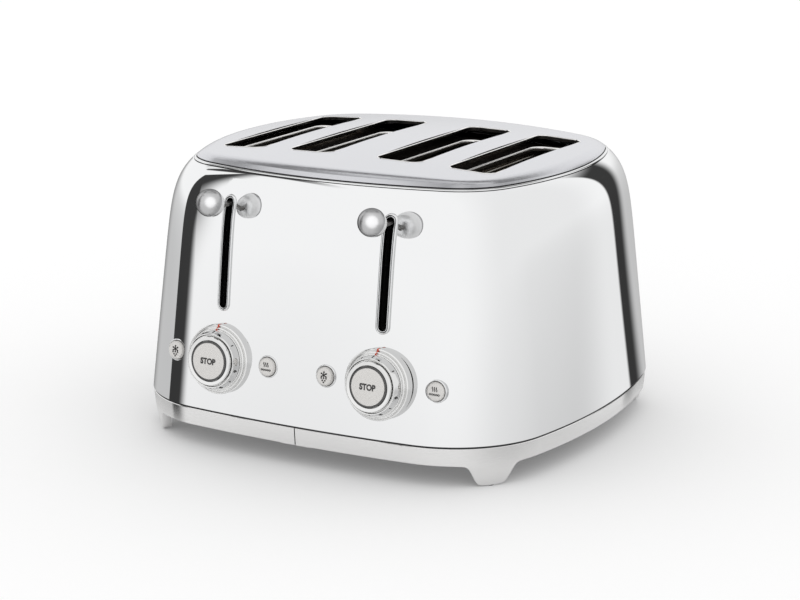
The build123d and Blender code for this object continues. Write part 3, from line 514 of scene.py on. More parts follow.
def slot_lip_painted_shade(sh, place):
    """Painted shade: 1 on the plate's turned-down slot edges, which are coloured dark for the shade inside the
    slots, 0 on its crown and its rolled rim.
    """
    parts = sh.add("ShaderNodeSeparateXYZ")
    sh.put(place, parts.inputs[0])
    x, y, z = parts.outputs
    away = sh.math("ABSOLUTE", sh.math("SUBTRACT", y, MIDDLE_Y))
    across = sh.math("ABSOLUTE", x)
    crown = sh.math("DIVIDE", sh.math("ADD", sh.product(x, x), sh.product(away, away)), 2 * CROWN_RADIUS)
    depth = sh.math("SUBTRACT", sh.math("SUBTRACT", TOP_HEIGHT, crown), z)
    within = sh.product(sh.ramp(away, SLOT_SIZES[1] + MM, SLOT_SIZES[1] + MM / 2),
                        sh.ramp(across, SLOTS_OUTSIDE + MM, SLOTS_OUTSIDE + MM / 2))
    return sh.product(within, sh.ramp(depth, LIP_TOP, LIP_DEPTH))


def make_materials():
    """One material for each of the record's slots, and the colours of lettering and marks."""
    made = {}

    def add(name, *values, **extras):
        made[name] = surface(name, *values, **extras)

    add("polished_shell", (0.91, 0.915, 0.92), 1, 0.022, 0.012, 60)
    add("polished_trim", (0.84, 0.845, 0.85), 1, 0.05, 0.015, 300)
    # The knob ball is coloured darker than chrome as painted shade, standing in for its dark reflections.
    add("polished_knob", (0.58, 0.58, 0.585), 1, 0.30, 0.02, 300, edge=0.03)
    add("satin_skirt", (0.98, 0.98, 0.98), 1, 0.4, 0.03, 300)
    # The plate's turned-down slot lips are coloured near-black: painted shade of the slots' insides.
    add("satin_top", (0.70, 0.705, 0.735), 1, 0.24, 0.012, 1500,
        mask=slot_lip_painted_shade, masked=(0.10, 0.095, 0.09))
    add("satin_base", (0.83, 0.825, 0.82), 1, 0.12, 0.02, 900, stretch=(1, 1, 6))
    add("dial_metal", (0.86, 0.86, 0.855), 1, 0.05, 0.015, 400)
    add("button_metal", (0.70, 0.685, 0.665), 0.25, 0.36, 0.04, 900, 2e-6, 4000)
    add("black_plastic", (0.012, 0.012, 0.013), 0, 0.5, 0.08, 700, 6e-6, 1800)
    add("rubber_pads", (0.02, 0.02, 0.02), 0, 0.75, 0.08, 900, 1e-5, 1200)
    # The chamber's zinc and bright sheets are coloured much darker than these metals: painted shade of the
    # toaster's inside.
    add("zinc_sheet", (0.17, 0.165, 0.16), 1, 0.34, 0.08, 180, stain=(0.11, 0.10, 0.09))
    add("bright_sheet", (0.12, 0.11, 0.10), 1, 0.5, 0.08, 200, stain=(0.07, 0.06, 0.05), edge=0.1)
    add("tray_sheet", (0.55, 0.55, 0.56), 1, 0.33, 0.07, 240)
    # The wires too are coloured darker than steel, as painted shade of the inside, besides their stains.
    add("wire_steel", (0.30, 0.285, 0.26), 1, 0.28, 0.07, 300, stain=(0.16, 0.13, 0.10))
    add("mica_heater", (0.22, 0.18, 0.13), 0, 0.5, 0.1, 400, stain=(0.12, 0.10, 0.08), stain_scale=90)
    add("screw_steel", (0.55, 0.55, 0.56), 1, 0.28, 0.06, 700)
    add("spring_steel", (0.45, 0.45, 0.46), 1, 0.3, 0.06, 700)
    add("coil_copper", (0.55, 0.26, 0.12), 1, 0.35, 0.06, 700)
    add("circuit_board", (0.03, 0.16, 0.07), 0, 0.35, 0.06, 500,
        stain=(0.02, 0.11, 0.05), stain_scale=300)
    add("print_dark", (0.035, 0.033, 0.033), 0, 0.5, 0.08, 900)
    add("print_red", (0.62, 0.075, 0.03), 0, 0.4, 0.08, 900)
    # Dark ring round the stop face: painted shade of its gap.
    add("ring_painted_shade", (0.10, 0.10, 0.10), 0.6, 0.3, 0.06, 700)
    # Near-white finish of the slot and mouth edges: painted highlight on real rounded edges.
    add("edge_painted_highlight", (0.98, 0.97, 0.95), 1, 0.14, 0.04, 500)
    return made


def dress_nodes():
    for part in frame["record"]["subparts"]:
        mesh = nodes[part["node"]].data
        mesh.materials.clear()
        mesh.materials.append(materials[part["material_slot"]])


def wall_sizes(share, offset):
    """Half sizes, corner radius and bows of the wall's outline at a share of its height."""
    within = np.clip(share, 0, 1)
    roll = SHOULDER_ROLL * (within**SHOULDER_POWER + SHOULDER_POWER * np.maximum(share - 1, 0))
    bend = (FRONT_TAPER * share + roll) / (FRONT_TAPER + SHOULDER_ROLL)
    half_x = HALF_WIDTH - SIDE_TAPER * share - roll - offset
    half_y = HALF_DEPTH - FRONT_TAPER * share - roll - offset
    corner = SHELL_CORNER + (RIM_CORNER - SHELL_CORNER) * bend - offset
    bow_x = SHELL_FRONT_BOW + (RIM_FRONT_BOW - SHELL_FRONT_BOW) * bend
    bow_y = SHELL_SIDE_BOW + (RIM_SIDE_BOW - SHELL_SIDE_BOW) * bend
    return half_x, half_y, corner, bow_x, bow_y


def wall_arcs(share, offset):
    """Centres and radii of the front, corner and side arcs of the outline's first quarter."""
    half_x, half_y, corner, bow_x, bow_y = wall_sizes(share, offset)
    front_radius = (half_x**2 + bow_x**2) / (2 * bow_x)
    side_radius = (half_y**2 + bow_y**2) / (2 * bow_y)
    front_y, side_x = half_y - front_radius, half_x - side_radius
    length = np.hypot(side_x, front_y)
    along = ((front_radius - corner)**2 - (side_radius - corner)**2 + length**2) / (2 * length)
    across = np.sqrt((front_radius - corner)**2 - along**2)
    unit_x, unit_y = side_x / length, -front_y / length
    corner_x = unit_x * along + unit_y * across
    corner_y = front_y + unit_y * along - unit_x * across
    return (0 * share, front_y, front_radius), (corner_x, corner_y, corner), (side_x, 0 * share, side_radius)


def wall_turns(share, offset):
    """Angles from +Y at which the corner arc starts and ends."""
    front, corner, side = wall_arcs(share, offset)
    start = np.arctan2(corner[0] - front[0], corner[1] - front[1])
    end = np.arctan2(corner[0] - side[0], corner[1] - side[1])
    return start, end


def wall_outline(share, offset, steps):
    """Points of the whole outline at a height, in the housing's own centre."""
    start, end = wall_turns(share, offset)
    quarter = []
    limits = ((0.0, start), (start, end), (end, pi / 2))
    for (x, y, radius), (low, high), count in zip(wall_arcs(share, offset), limits, steps):
        for step in range(count):
            turn = low + (high - low) * step / count
            quarter.append((x + radius * sin(turn), y + radius * cos(turn)))
    half = quarter + [(wall_sizes(share, offset)[0], 0.0)] + [(x, -y) for x, y in reversed(quarter)]
    return half + [(-x, y) for x, y in reversed(half[1:-1])]


def share_at(height):
    return (height - SEAM_HEIGHT) / (RIM_HEIGHT - SEAM_HEIGHT)


def wall_reach(x, y, z, offset=0.0):
    """How far points lie outside the wall's outline at their heights, and their outward ways."""
    share = share_at(z)
    start, end = wall_turns(share, offset)
    front, corner, side = wall_arcs(share, offset)
    across, away = np.abs(x), np.abs(y)
    turn = np.arctan2(across - corner[0], away - corner[1])
    on_front, on_side = turn < start, turn > end
    centre_x, centre_y, radius = [np.where(on_front, a, np.where(on_side, c, b))
                                  for a, b, c in zip(front, corner, side)]
    far_x, far_y = across - centre_x, away - centre_y
    length = np.hypot(far_x, far_y)
    return length - radius, np.sign(x) * far_x / length, np.sign(y) * far_y / length


def wall_normals(points, offset=0.0):
    """Exact normals of the wall at points in the part's frame."""
    x, y, z = points[:, 0], points[:, 1] - MIDDLE_Y, points[:, 2]
    step = 1e-5
    _, way_x, way_y = wall_reach(x, y, z, offset)
    above, below = wall_reach(x, y, z + step, offset)[0], wall_reach(x, y, z - step, offset)[0]
    normals = np.column_stack([way_x, way_y, (above - below) / (2 * step)])
    return normals / np.linalg.norm(normals, axis=1)[:, None]


def smooth(value, low, high):
    """0 to 1 as a value goes from low to high."""
    part = np.clip((value - low) / (high - low), 0, 1)
    return part * part * (3 - 2 * part)


def calm_front(points, normals):
    """Normals turned towards a flat plane in the front's middle, whose mirror images stay undistorted."""
    weight = smooth(points[:, 0], *CALM_LEFT) * smooth(points[:, 0], *CALM_RIGHT)
    weight = weight * smooth(points[:, 2], *CALM_HEIGHT) * (points[:, 1] < MIDDLE_Y)
    slope = normals[:, 2] / np.hypot(normals[:, 0], normals[:, 1])
    slope = slope + weight * (np.minimum(slope, CALM_SLOPE) - slope)
    across = normals[:, 0] * (1 - CALM_TURN * weight)
    flat = np.hypot(across, normals[:, 1])
    calm = np.column_stack([across / flat, normals[:, 1] / flat, slope])
    return calm / np.linalg.norm(calm, axis=1)[:, None]


def front_surface(x, z):
    """Y of the wall's front in the part's frame, for arrays of x and z."""
    low, high = np.full(len(x), -HALF_DEPTH - MM), np.full(len(x), -HALF_DEPTH / 2)
    for _ in range(40):
        middle = (low + high) / 2
        outside = wall_reach(x, middle, z)[0] > 0
        low, high = np.where(outside, middle, low), np.where(outside, high, middle)
    return (low + high) / 2 + MIDDLE_Y


def to_mesh(shape, name, crisp=30):
    """Mesh of a bmesh, smooth except where it turns by more than crisp degrees."""
    bmesh.ops.recalc_face_normals(shape, faces=shape.faces)
    mesh = bpy.data.meshes.new(name)
    shape.to_mesh(mesh)
    shape.free()
    mesh.polygons.foreach_set("use_smooth", [True] * len(mesh.polygons))
    mesh.set_sharp_from_angle(angle=radians(crisp))
    return mesh


def piece(mesh, body, slot_name, *replaced, finish=None):
    """Object that rides on a body and takes its finish from a slot."""
    one = add_object(mesh.name, mesh)
    mesh.materials.append(materials[finish or slot_name])
    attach(one, body)
    if replaced:
        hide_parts(*replaced)
    return one


def vertices(shape, points, place=IN_PLACE):
    """New vertices at points of a place's own frame."""
    return [shape.verts.new(place @ Vector(point)) for point in points]


def bridge(shape, rings):
    """Faces between rings of vertices, and from the last ring to the first."""
    for lower, upper in zip(rings, rings[1:] + rings[:1]):
        for i in range(len(lower)):
            corners = list(dict.fromkeys((lower[i - 1], lower[i], upper[i], upper[i - 1])))
            if len(corners) > 2:
                shape.faces.new(corners)


def close_between(shape, low, high):
    """Closed solid between two rings of vertices."""
    shape.faces.new(low[::-1])
    shape.faces.new(high)
    for i in range(len(low)):
        shape.faces.new((low[i - 1], low[i], high[i], high[i - 1]))


def add_prism(shape, outline, low, high, place):
    """Solid whose outline of (x, y) points runs from low to high along the place's Z."""
    close_between(shape, *[vertices(shape, [(x, y, z) for x, y in outline], place) for z in (low, high)])


def filleted(profile, steps=5):
    """(x, y) points of a closed outline of (x, y, radius) corners, each rounded by its radius."""
    points = []
    for i, (x, y, radius) in enumerate(profile):
        corner = Vector((x, y))
        back = Vector(profile[i - 1][:2]) - corner
        ahead = Vector(profile[(i + 1) % len(profile)][:2]) - corner
        if not radius:
            points.append((x, y))
            continue
        half = back.angle(ahead) / 2
        cut = min(radius / tan(half), 0.49 * min(back.length, ahead.length))
        start, end = corner + back.normalized() * cut, corner + ahead.normalized() * cut
        for step in range(steps + 1):
            t = step / steps
            points.append(tuple((1 - t)**2 * start + 2 * t * (1 - t) * corner + t**2 * end))
    return points


def circle(radius, steps=48):
    return [(radius * cos(tau * step / steps), radius * sin(tau * step / steps)) for step in range(steps)]


def lathe(name, profile, place, steps=96):
    """Mesh turned about the place's Z from a closed (radius, height) outline in millimetres."""
    shape = bmesh.new()
    rings = []
    for radius, height in profile:
        if radius < 1e-6:
            rings.append(vertices(shape, [(0, 0, height * MM)], place) * steps)
        else:
            ring = [(x, y, height * MM) for x, y in circle(radius * MM, steps)]
            rings.append(vertices(shape, ring, place))
    bridge(shape, rings)
    return to_mesh(shape, name)


def wall_ring(name, sections):
    """Closed ring round the housing, from (share, offset, height) points of its cross-section."""
    shape = bmesh.new()
    rings = []
    for share, offset, z in sections:
        outline = wall_outline(share, offset, SHELL_STEPS)
        rings.append(vertices(shape, [(x, y + MIDDLE_Y, z) for x, y in outline]))
    bridge(shape, rings)
    return to_mesh(shape, name)


def control_frame(side, kind="dial"):
    """Place of a control on the front: Z along its axis, X to the right, in metres."""
    dial = joints["dial_turn_" + side]
    axis = -Vector(dial["axis"]).normalized()
    across = Vector((1, 0, 0))
    turn = Matrix((across, axis.cross(across), axis)).transposed().to_4x4()
    middle = Vector(dial["pos_m"])
    if kind != "dial":
        low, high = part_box(kind + "_button_" + side)
        back = (low.y - middle.y + CAP_FLAT * MM * axis.z) / axis.y - CAP_HEIGHT * MM
        middle = middle + across * ((low.x + high.x) / 2 - middle.x) + axis * back
    return Matrix.Translation(middle) @ turn


def stadium(half_width, half_height):
    """Outline of an upright slot with round ends and straight runs in short steps."""
    points = []
    straight = half_height - half_width
    for side in (1, -1):
        for step in range(SLIT_STEPS):
            angle = pi * step / SLIT_STEPS + (0 if side > 0 else pi)
            points.append((half_width * cos(angle), side * straight + half_width * sin(angle)))
        for step in range(SLIT_RUN_STEPS):
            points.append((-side * half_width, side * straight * (1 - 2 * step / SLIT_RUN_STEPS)))
    return points


def cut_holes(mesh, cutters):
    """Mesh with the cutters' solids taken out of it."""
    raw = add_object("raw", mesh)
    blades = []
    for cutter in cutters:
        shape = bmesh.new()
        add_prism(shape, *cutter)
        blade = add_object("blade", to_mesh(shape, "blade"))
        holes = raw.modifiers.new("holes", "BOOLEAN")
        holes.operation = "DIFFERENCE"
        holes.solver = "EXACT"
        holes.object = blade
        blades.append(blade)
    graph = bpy.context.evaluated_depsgraph_get()
    result = bpy.data.meshes.new_from_object(raw.evaluated_get(graph))
    name = mesh.name
    for one in blades + [raw]:
        bpy.data.meshes.remove(one.data)
    result.name = name
    return result


def slit_sizes(side):
    """Middle and half sizes of a lever slit, without its rim."""
    low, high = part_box("lever_bezel_" + side)
    middle = Vector(((low.x + high.x) / 2, low.y, (low.z + high.z) / 2))
    return middle, (high.x - low.x) / 2 - BEZEL_RIM, (high.z - low.z) / 2 - BEZEL_RIM


def control_cutters():
    """Prisms of the lever slits, dial holes and button holes."""
    cutters = []
    for side in SIDES:
        middle, half_width, half_height = slit_sizes(side)
        outline = stadium(half_width + SLIT_SLEEVE, half_height + SLIT_SLEEVE)
        cutters.append((outline, -CUT_DEPTH, CUT_DEPTH, Matrix.Translation(middle) @ LYING))
        for kind, radius in (("dial", DIAL_HOLE), ("defrost", BUTTON_HOLE), ("reheat", BUTTON_HOLE)):
            cutters.append((circle(radius * MM), -CUT_DEPTH, CUT_DEPTH, control_frame(side, kind)))
    return cutters


def set_wall_normals(mesh):
    """Exact normals on the wall's outer and inner faces, so that it mirrors cleanly."""
    points = np.array([one.co for one in mesh.vertices])
    outer = calm_front(points, wall_normals(points))
    inner = -wall_normals(points, SHELL_WALL)
    mesh.polygons.foreach_set("use_smooth", [True] * len(mesh.polygons))
    corners = [None] * len(mesh.loops)
    for face in mesh.polygons:
        flat = np.array(face.normal)
        for corner in face.loop_indices:
            point = mesh.loops[corner].vertex_index
            normal = flat
            for exact in (outer[point], inner[point]):
                if flat @ exact > NORMAL_MATCH:
                    normal = exact
            corners[corner] = tuple(normal)
    mesh.normals_split_custom_set(corners)


def polished_wall():
    """The housing's wall, cut for the controls."""
    top = share_at(RIM_HEIGHT - RIM_SEAM)
    bottom = share_at(SEAM_HEIGHT + BASE_SEAM)
    shares = [top - (top - bottom) * (1 - row / SHELL_ROWS)**ROW_CROWDING for row in range(SHELL_ROWS + 1)]
    rows = [(share, SEAM_HEIGHT + share * (RIM_HEIGHT - SEAM_HEIGHT)) for share in shares]
    sections = [(share, 0.0, z) for share, z in rows] + [(share, SHELL_WALL, z) for share, z in rows[::-1]]
    mesh = cut_holes(wall_ring("polished_wall", sections), control_cutters())
    set_wall_normals(mesh)
    piece(mesh, "root", "polished_shell", "body_shell")


def wall_seams():
    """Black strips in the seams above and below the wall, painted shade that darkens the seam lines, and the
    bright bead under the plate.
    """
    low, high = RIM_HEIGHT - RIM_SEAM - MM, RIM_HEIGHT + SHADE_STRIP_RISE
    rim_shade_strip = [(share_at(z), SHADE_STRIP_INSET, z) for z in (low, RIM_HEIGHT, high)]
    rim_shade_strip += [(share_at(z), SHADE_STRIP_DEPTH, z) for z in (high, RIM_HEIGHT, low)]
    piece(wall_ring("rim_seam_painted_shade", rim_shade_strip), "root", "black_plastic")
    bead = []
    middle = RIM_HEIGHT - RIM_SEAM / 2
    for up, out in circle(1, BEAD_STEPS):
        height = middle + BEAD_HALF_HEIGHT * up
        bead.append((share_at(height), SHADE_STRIP_INSET / 2 - BEAD_PROUD * out, height))
    piece(wall_ring("rim_bead", bead), "root", "polished_trim")
    near, far = BASE_SHADE_STRIP
    low, high = BAND_TOP - MM, SEAM_HEIGHT + 3 * BASE_SEAM
    base = [(0.0, near, low), (0.0, near, high), (0.0, far, high), (0.0, far, low)]
    piece(wall_ring("base_seam_painted_shade", base), "root", "black_plastic")


def foot_drop(x, y):
    """0 where the band has its plain lower edge, 1 at a foot's tip, by the place in plan."""
    corner = wall_arcs(0.0, 0.0)[1]
    far_x, far_y = abs(x) - corner[0], abs(y) - corner[1]
    if far_x * sin(FOOT_TURN) + far_y * cos(FOOT_TURN) < 0:
        return 0.0
    aside = abs(far_x * cos(FOOT_TURN) - far_y * sin(FOOT_TURN))
    rise = (FOOT_ROOT_HALF - aside) / (FOOT_ROOT_HALF - FOOT_TIP_HALF)
    above = (rise + sqrt(rise**2 + FOOT_SOFTNESS**2)) / 2
    below = 1 - above
    return 1 - (below + sqrt(below**2 + FOOT_SOFTNESS**2)) / 2


def band_inset(height):
    """How far the band's outer face lies inside the wall's lowest outline at a height."""
    drop = (BAND_TOP - max(height, BAND_BOTTOM)) / (BAND_TOP - BAND_BOTTOM)
    return BAND_STEP + BAND_DRAFT * drop + FOOT_INSET * max(BAND_BOTTOM - height, 0) / BAND_BOTTOM


def band_ring(shape, heights, insets):
    """Ring of the band's surface, from the height and the inset of each of its points."""
    outlines = {}
    points = []
    for i, (height, inset) in enumerate(zip(heights, insets)):
        key = round(inset, 7)
        if key not in outlines:
            outlines[key] = wall_outline(0.0, inset, BAND_STEPS)
        x, y = outlines[key][i]
        points.append((x, y + MIDDLE_Y, height))
    return vertices(shape, points)


def band_cutters():
    """Prisms of the crumb trays' windows and of the cord gland's hole."""
    cutters = []
    for side in SIDES:
        low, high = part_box("crumb_tray_" + side)
        near, far = low.x - TRAY_GAP, high.x + TRAY_GAP
        window = [(near, 0.0), (far, 0.0), (far, TRAY_REACH), (near, TRAY_REACH)]
        cutters.append((window, BAND_BOTTOM + TRAY_SILL, SEAM_HEIGHT + MM, IN_PLACE))
    low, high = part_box("cord_gland")
    seat = Matrix.Translation((0, HALF_DEPTH, (low.z + high.z) / 2)) @ LYING
    return cutters + [(circle(GLAND_HOLE), -CUT_DEPTH, CUT_DEPTH, seat)]


def base_bands():
    """The satin base band in two halves, with its feet."""
    drops = [foot_drop(x, y) for x, y in wall_outline(0.0, 0.0, BAND_STEPS)]
    calm = min(drops)
    feet = [max(0.0, (drop - calm) / (1 - calm)) for drop in drops]
    bottoms = [BAND_BOTTOM - (BAND_BOTTOM - FOOT_TIP) * foot for foot in feet]
    shape = bmesh.new()

    def outside(heights, more=0.0):
        return band_ring(shape, heights, [band_inset(height) + more for height in heights])

    def level(height, inset):
        return band_ring(shape, [height] * len(bottoms), [inset] * len(bottoms))

    top = BAND_TOP - BAND_EDGE
    rings = [level(BAND_TOP, BAND_STEP + BAND_EDGE)]
    for row in range(BAND_ROWS + 1):
        part = row / BAND_ROWS
        rings.append(outside([top + (bottom + BAND_EDGE - top) * part for bottom in bottoms]))
    under, ledge, inner = BAND_BOTTOM + LEDGE_LIFT, BAND_BOTTOM + LEDGE_THICKNESS, BAND_STEP + BAND_WALL
    rings += [outside(bottoms, BAND_EDGE), outside(bottoms, FOOT_DEPTH),
              level(under, BAND_STEP + BAND_DRAFT + FOOT_DEPTH), level(under, LEDGE_WIDTH),
              level(ledge, LEDGE_WIDTH), level(ledge, inner), level(BAND_TOP, inner)]
    bridge(shape, rings)
    whole = cut_holes(to_mesh(shape, "base_band"), band_cutters())
    for side, way in zip(SIDES, (-1, 1)):
        half = bmesh.new()
        half.from_mesh(whole)
        geometry = half.verts[:] + half.edges[:] + half.faces[:]
        cut = bmesh.ops.bisect_plane(half, geom=geometry, plane_co=(way * BAND_JOINT / 2, 0, 0),
                                     plane_no=(-way, 0, 0), clear_outer=True)
        rim = [one for one in cut["geom_cut"] if isinstance(one, bmesh.types.BMEdge)]
        bmesh.ops.holes_fill(half, edges=rim, sides=0)
        piece(to_mesh(half, "base_band_" + side), "root", "satin_base", "base_ring_" + side)


def joint_painted_shade():
    """Dark strips behind the joints between the band's halves: painted shade that makes the joint gaps read dark.
    """
    back = bmesh.new()
    wide, inset, thick, margin = JOINT_SHADE_STRIP
    for way in (-1, 1):
        y = MIDDLE_Y + way * (HALF_DEPTH - BAND_STEP - BAND_DRAFT - inset)
        strip = [(-wide, y), (wide, y), (wide, y - way * thick), (-wide, y - way * thick)]
        add_prism(back, strip, BAND_BOTTOM + margin, BAND_TOP - margin, IN_PLACE)
    piece(to_mesh(back, "joint_painted_shade"), "root", "black_plastic")


def feet_pads():
    pads = bmesh.new()
    corner = wall_arcs(0.0, 0.0)[1]
    reach = SHELL_CORNER - BAND_STEP - BAND_DRAFT - FOOT_INSET - FOOT_DEPTH / 2
    for way_x in (-1, 1):
        for way_y in (-1, 1):
            x = way_x * (corner[0] + reach * sin(FOOT_TURN))
            y = way_y * (corner[1] + reach * cos(FOOT_TURN)) + MIDDLE_Y
            add_prism(pads, circle(PAD_RADIUS, PAD_SIDES), 0.0, PAD_HEIGHT, Matrix.Translation((x, y, 0)))
    piece(to_mesh(pads, "feet_pads"), "root", "rubber_pads", "foot_pads")


def slit_ring(name, side, profile):
    """Ring round a lever slit, its (outward, proud) cross-section laid on the wall."""
    middle, half_width, half_height = slit_sizes(side)
    shape = bmesh.new()
    rings = []
    for out, proud in profile:
        points = np.array(stadium(half_width + out * MM, half_height + out * MM))
        x, z = points[:, 0] + middle.x, points[:, 1] + middle.z
        y = front_surface(x, z) - proud * MM
        rings.append(vertices(shape, zip(x, y, z)))
    bridge(shape, rings)
    return to_mesh(shape, name, crisp=50)


def slit_rims():
    for side in SIDES:
        rim = slit_ring("slit_rim_" + side, side, SLIT_PROFILE)
        piece(rim, "root", "polished_trim", "lever_bezel_" + side)
        # The black strip in the rim's groove is painted shade.
        piece(slit_ring("slit_groove_painted_shade_" + side, side, SLIT_GROOVE_PAINTED_SHADE), "root", "black_plastic")


def knob_profiles():
    """Ball and the full rounded skirt behind it, as closed (radius, height) outlines."""
    skirt = list(KNOB_SKIRT)
    ball = []
    low = asin(KNOB_SKIRT_JOIN / KNOB_RADIUS)
    for step in range(KNOB_STEPS + 1):
        angle = low + (pi / 2 - low) * step / KNOB_STEPS
        point = (KNOB_RADIUS * cos(angle), KNOB_RADIUS * sin(angle))
        (skirt if angle < 0 else ball).append(point)
    ball[-1] = (0, KNOB_RADIUS)
    joint = [(0, 0), (KNOB_RADIUS, 0)]
    return joint + ball, skirt + joint[::-1]


def knobs():
    balls = []
    for side in SIDES:
        low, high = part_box("lever_knob_" + side)
        radius = KNOB_RADIUS * MM
        centre = Vector(((low.x + high.x) / 2, low.y + radius, high.z - radius))
        place = Matrix.Translation(centre) @ Matrix.Rotation(radians(90 - KNOB_TILT), 4, "X")
        ball, skirt = knob_profiles()
        carriage = "lever_carriage_" + side
        # The ball's darker colour is painted shade; the knob lamp gives its bright middle.
        mesh = lathe("ball_knob_" + side, ball, place)
        balls.append(piece(mesh, carriage, "polished_knob", "lever_knob_" + side))
        piece(lathe("knob_skirt_" + side, skirt, place), carriage, "polished_knob", finish="satin_skirt")
    make_knob_lamp(balls)


def text_shape(words, height, thick, bold):
    """Vertices and faces of plain lettering, in millimetres about its middle."""
    curve = bpy.data.curves.new("words", "FONT")
    curve.body = words
    curve.extrude = thick / 2
    curve.offset = bold
    curve.resolution_u = 4
    holder = add_object("words", curve)
    graph = bpy.context.evaluated_depsgraph_get()
    mesh = bpy.data.meshes.new_from_object(holder.evaluated_get(graph))
    bpy.data.objects.remove(holder)
    points = np.array([one.co for one in mesh.vertices])
    flat = points[:, :2]
    flat -= (flat.max(0) + flat.min(0)) / 2
    flat *= height / np.ptp(flat[:, 1])
    faces = [tuple(face.vertices) for face in mesh.polygons]
    bpy.data.meshes.remove(mesh)
    return points, faces


def add_faces(shape, points, faces, place):
    """Faces added to a shape, with their doubled corners joined."""
    verts = vertices(shape, points, place)
    for face in faces:
        shape.faces.new([verts[i] for i in face])
    bmesh.ops.remove_doubles(shape, verts=verts, dist=SAME_PLACE)


def on_cone(points, turn):
    """Lettering points wrapped on the number band at a clock angle, tops towards the housing."""
    slant = radians(NUMBER_SLANT)
    placed = []
    for u, v, w in points:
        angle = radians(turn) + u / NUMBER_RADIUS
        radius = NUMBER_RADIUS + v * sin(slant) + (w + NUMBER_LIFT) * cos(slant)
        height = NUMBER_HEIGHT - v * cos(slant) + w * sin(slant)
        placed.append(Vector((radius * sin(angle), radius * cos(angle), height)) * MM)
    return placed


def dial_numbers(side, place):
    """Numbers and the dashes between them on the dial's band."""
    shape = bmesh.new()
    for words, turn in NUMBER_TURNS.items():
        points, faces = text_shape(words, *NUMBER_TEXT)
        add_faces(shape, on_cone(points, turn), faces, place)
    wide, tall, thick = DASH_HALF_SIZES
    dash = [(-wide, -tall), (wide, -tall), (wide, tall), (-wide, tall)]
    for turn in DASH_TURNS:
        ends = [on_cone([(x, y, z) for x, y in dash], turn) for z in (-thick, thick)]
        close_between(shape, *[vertices(shape, end, place) for end in ends])
    piece(to_mesh(shape, "dial_numbers_" + side), "dial_" + side, "dial_metal", finish="print_dark")


def dial_index(side, place):
    """Red index laid on the flange, from its rim to the dial."""
    mark = bmesh.new()
    width, thickness = INDEX_HALF_SIZES
    half = Vector((width * MM, 0, 0))
    for (r1, h1), (r2, h2) in zip(INDEX_TRAIL, INDEX_TRAIL[1:]):
        along = Vector((0, r2 - r1, h2 - h1)) * MM
        start = Vector((0, r1, h1)) * MM
        up = Vector((0, -(h2 - h1), r2 - r1)).normalized() * thickness * MM
        corners = [start - half, start + half, start + along + half, start + along - half]
        ends = [vertices(mark, [corner + way * up for corner in corners], place) for way in (-1, 1)]
        close_between(mark, *ends)
    piece(to_mesh(mark, "dial_index_" + side), "root", "dial_metal", finish="print_red")


def dials():
    """Fixed flange with its index, turning dial with its numbers, and stop button with its word."""
    for side in SIDES:
        place = control_frame(side)
        flange = lathe("dial_escutcheon_" + side, filleted(FLANGE_PROFILE), place, DIAL_STEPS)
        piece(flange, "root", "dial_metal", "dial_flange_" + side)
        ring = lathe("turning_dial_" + side, filleted(DIAL_PROFILE), place, DIAL_STEPS)
        piece(ring, "dial_" + side, "dial_metal", "dial_" + side)
        dial_numbers(side, place)
        stop = "stop_button_" + side
        piece(lathe("stop_face_" + side, filleted(STOP_FACE_PROFILE), place), stop, "button_metal", stop)
        # A dark ring fills the gap round the stop face: painted shade.
        dark = lathe("stop_gap_painted_shade_" + side, filleted(STOP_GAP_SHADE_PROFILE), place)
        piece(dark, stop, "button_metal", finish="ring_painted_shade")
        points, faces = text_shape("STOP", *STOP_TEXT)
        points[:, 0] *= STOP_TEXT_WIDTH / np.ptp(points[:, 0])
        points[:, 2] += STOP_TEXT_LEVEL
        shape = bmesh.new()
        add_faces(shape, points * MM, faces, place)
        piece(to_mesh(shape, "stop_word_" + side), stop, "button_metal", finish="print_dark")
        dial_index(side, place)


def bar(shape, start, end, width, place):
    """Bar of a sign between two (x, y) points."""
    start, end = Vector(start), Vector(end)
    across = (end - start).normalized().orthogonal() * width / 2
    outline = [start - across, end - across, end + across, start + across]
    add_prism(shape, outline, *SIGN_HEIGHTS, place)


def dot(shape, x, y, place):
    add_prism(shape, [(x + u, y + v) for u, v in circle(DOT_RADIUS, DOT_SIDES)], *SIGN_HEIGHTS, place)


def defrost_sign(shape, place):
    """Six-armed star over drops."""
    middle = Vector((0, STAR_MIDDLE))
    for turn in (0, 60, 120):
        a = radians(turn)
        arm = Vector((sin(a), cos(a))) * STAR_ARM
        bar(shape, middle - arm, middle + arm, STAR_LINE, place)
        for way in (-1, 1):
            dot(shape, arm.x * way, STAR_MIDDLE + arm.y * way, place)
    for x, y in DROPS:
        dot(shape, x, y, place)


def reheat_sign(shape, place):
    """Three wavy lines rising from a row of rings."""
    shares = [step / WAVE_STEPS for step in range(WAVE_STEPS + 1)]
    for x in WAVES:
        spots = [Vector((x + WAVE_SWING * sin(tau * one), WAVE_FOOT + WAVE_RISE * one)) for one in shares]
        for start, end in zip(spots, spots[1:]):
            bar(shape, start, end, WAVE_LINE, place)
    low, high = SIGN_HEIGHTS
    outer, inner = [circle(radius, RING_SIDES) for radius in RING_RADII]
    for x in RINGS:
        rings = []
        for ring, z in ((outer, low), (outer, high), (inner, high), (inner, low)):
            spots = [(x + u, v * RING_SQUASH + RING_MIDDLE, z) for u, v in ring]
            rings.append(vertices(shape, spots, place))
        bridge(shape, rings)


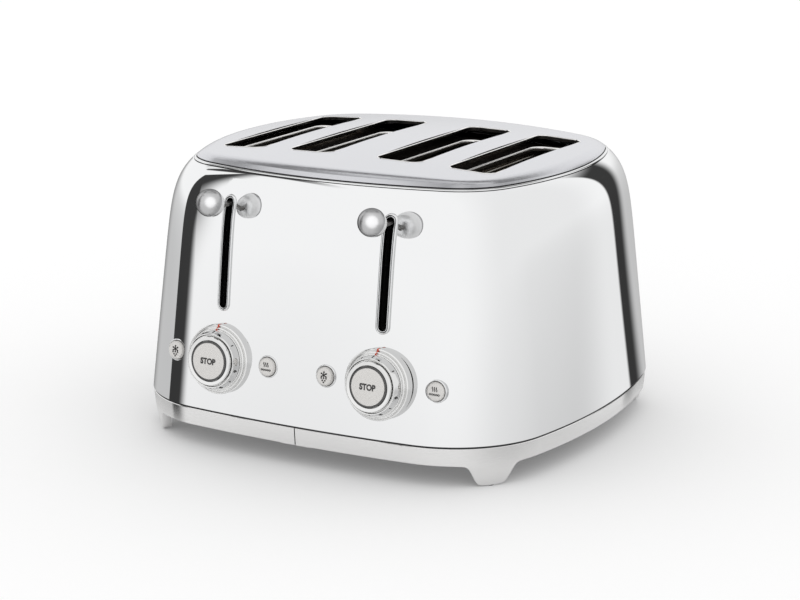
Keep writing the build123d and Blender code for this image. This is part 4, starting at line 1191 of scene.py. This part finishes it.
def small_buttons():
    bezels = bmesh.new()
    for side in SIDES:
        for kind, sign in (("defrost", defrost_sign), ("reheat", reheat_sign)):
            name = kind + "_button_" + side
            place = control_frame(side, kind)
            piece(lathe(kind + "_cap_" + side, filleted(CAP_PROFILE), place), name, "button_metal", name)
            shape = bmesh.new()
            sign(shape, place @ Matrix.Scale(MM, 4))
            piece(to_mesh(shape, kind + "_sign_" + side), name, "button_metal", finish="print_dark")
            rim = lathe("rim", filleted(BEZEL_PROFILE), place)
            bezels.from_mesh(rim)
            bpy.data.meshes.remove(rim)
    piece(to_mesh(bezels, "button_rims"), "root", "polished_trim", "button_bezels")


def rounded_rectangle(half_x, half_y, radius, steps=8):
    points = []
    for way_x, way_y, start in ((1, 1, 0), (-1, 1, 90), (-1, -1, 180), (1, -1, 270)):
        for step in range(steps + 1):
            angle = radians(start + 90 * step / steps)
            points.append((way_x * (half_x - radius) + radius * cos(angle),
                           way_y * (half_y - radius) + radius * sin(angle)))
    return points


def slot_edges(name, slot_name, sections, sizes, level):
    """Edges round the four slots, from a cross-section of (outward, upward) points, in a near-white finish that
    paints their highlight.
    """
    shape = bmesh.new()
    for rack in RACKS:
        low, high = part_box("bread_rack_" + rack)
        middle = (low.x + high.x) / 2
        rings = []
        for out, up in sections:
            outline = rounded_rectangle(*[size + out for size in sizes])
            ring = [(middle + u, v + MIDDLE_Y, level(middle + u, v) + up) for u, v in outline]
            rings.append(vertices(shape, ring))
        bridge(shape, rings)
    piece(to_mesh(shape, name), "root", slot_name, finish="edge_painted_highlight")


def mouth_edges():
    """Cut edges of the four mouths in the chamber's top sheet, near-white as a painted highlight."""
    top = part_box("chamber_top")[1].z
    sections = [(out * MM, up * MM) for out, up in MOUTH_PROFILE]
    slot_edges("mouth_edges", "bright_sheet", sections, MOUTH_SIZES, lambda x, y: top)


def slot_rims():
    """Rounded edges of the plate's four slots, which follow its crown."""
    bead = circle(SLOT_BEAD, SLOT_BEAD_STEPS)
    sections = [(out - SLOT_BEAD / 4, up - SLOT_BEAD / 3) for out, up in bead]
    slot_edges("slot_rims", "satin_top", sections, SLOT_SIZES,
               lambda x, y: TOP_HEIGHT - (x**2 + y**2) / (2 * CROWN_RADIUS))


scene.view_settings.view_transform = "Standard"
make_world()
make_camera()
make_floor()
materials = make_materials()
dress_nodes()
polished_wall()
wall_seams()
base_bands()
joint_painted_shade()
feet_pads()
slit_rims()
knobs()
dials()
small_buttons()
mouth_edges()
slot_rims()
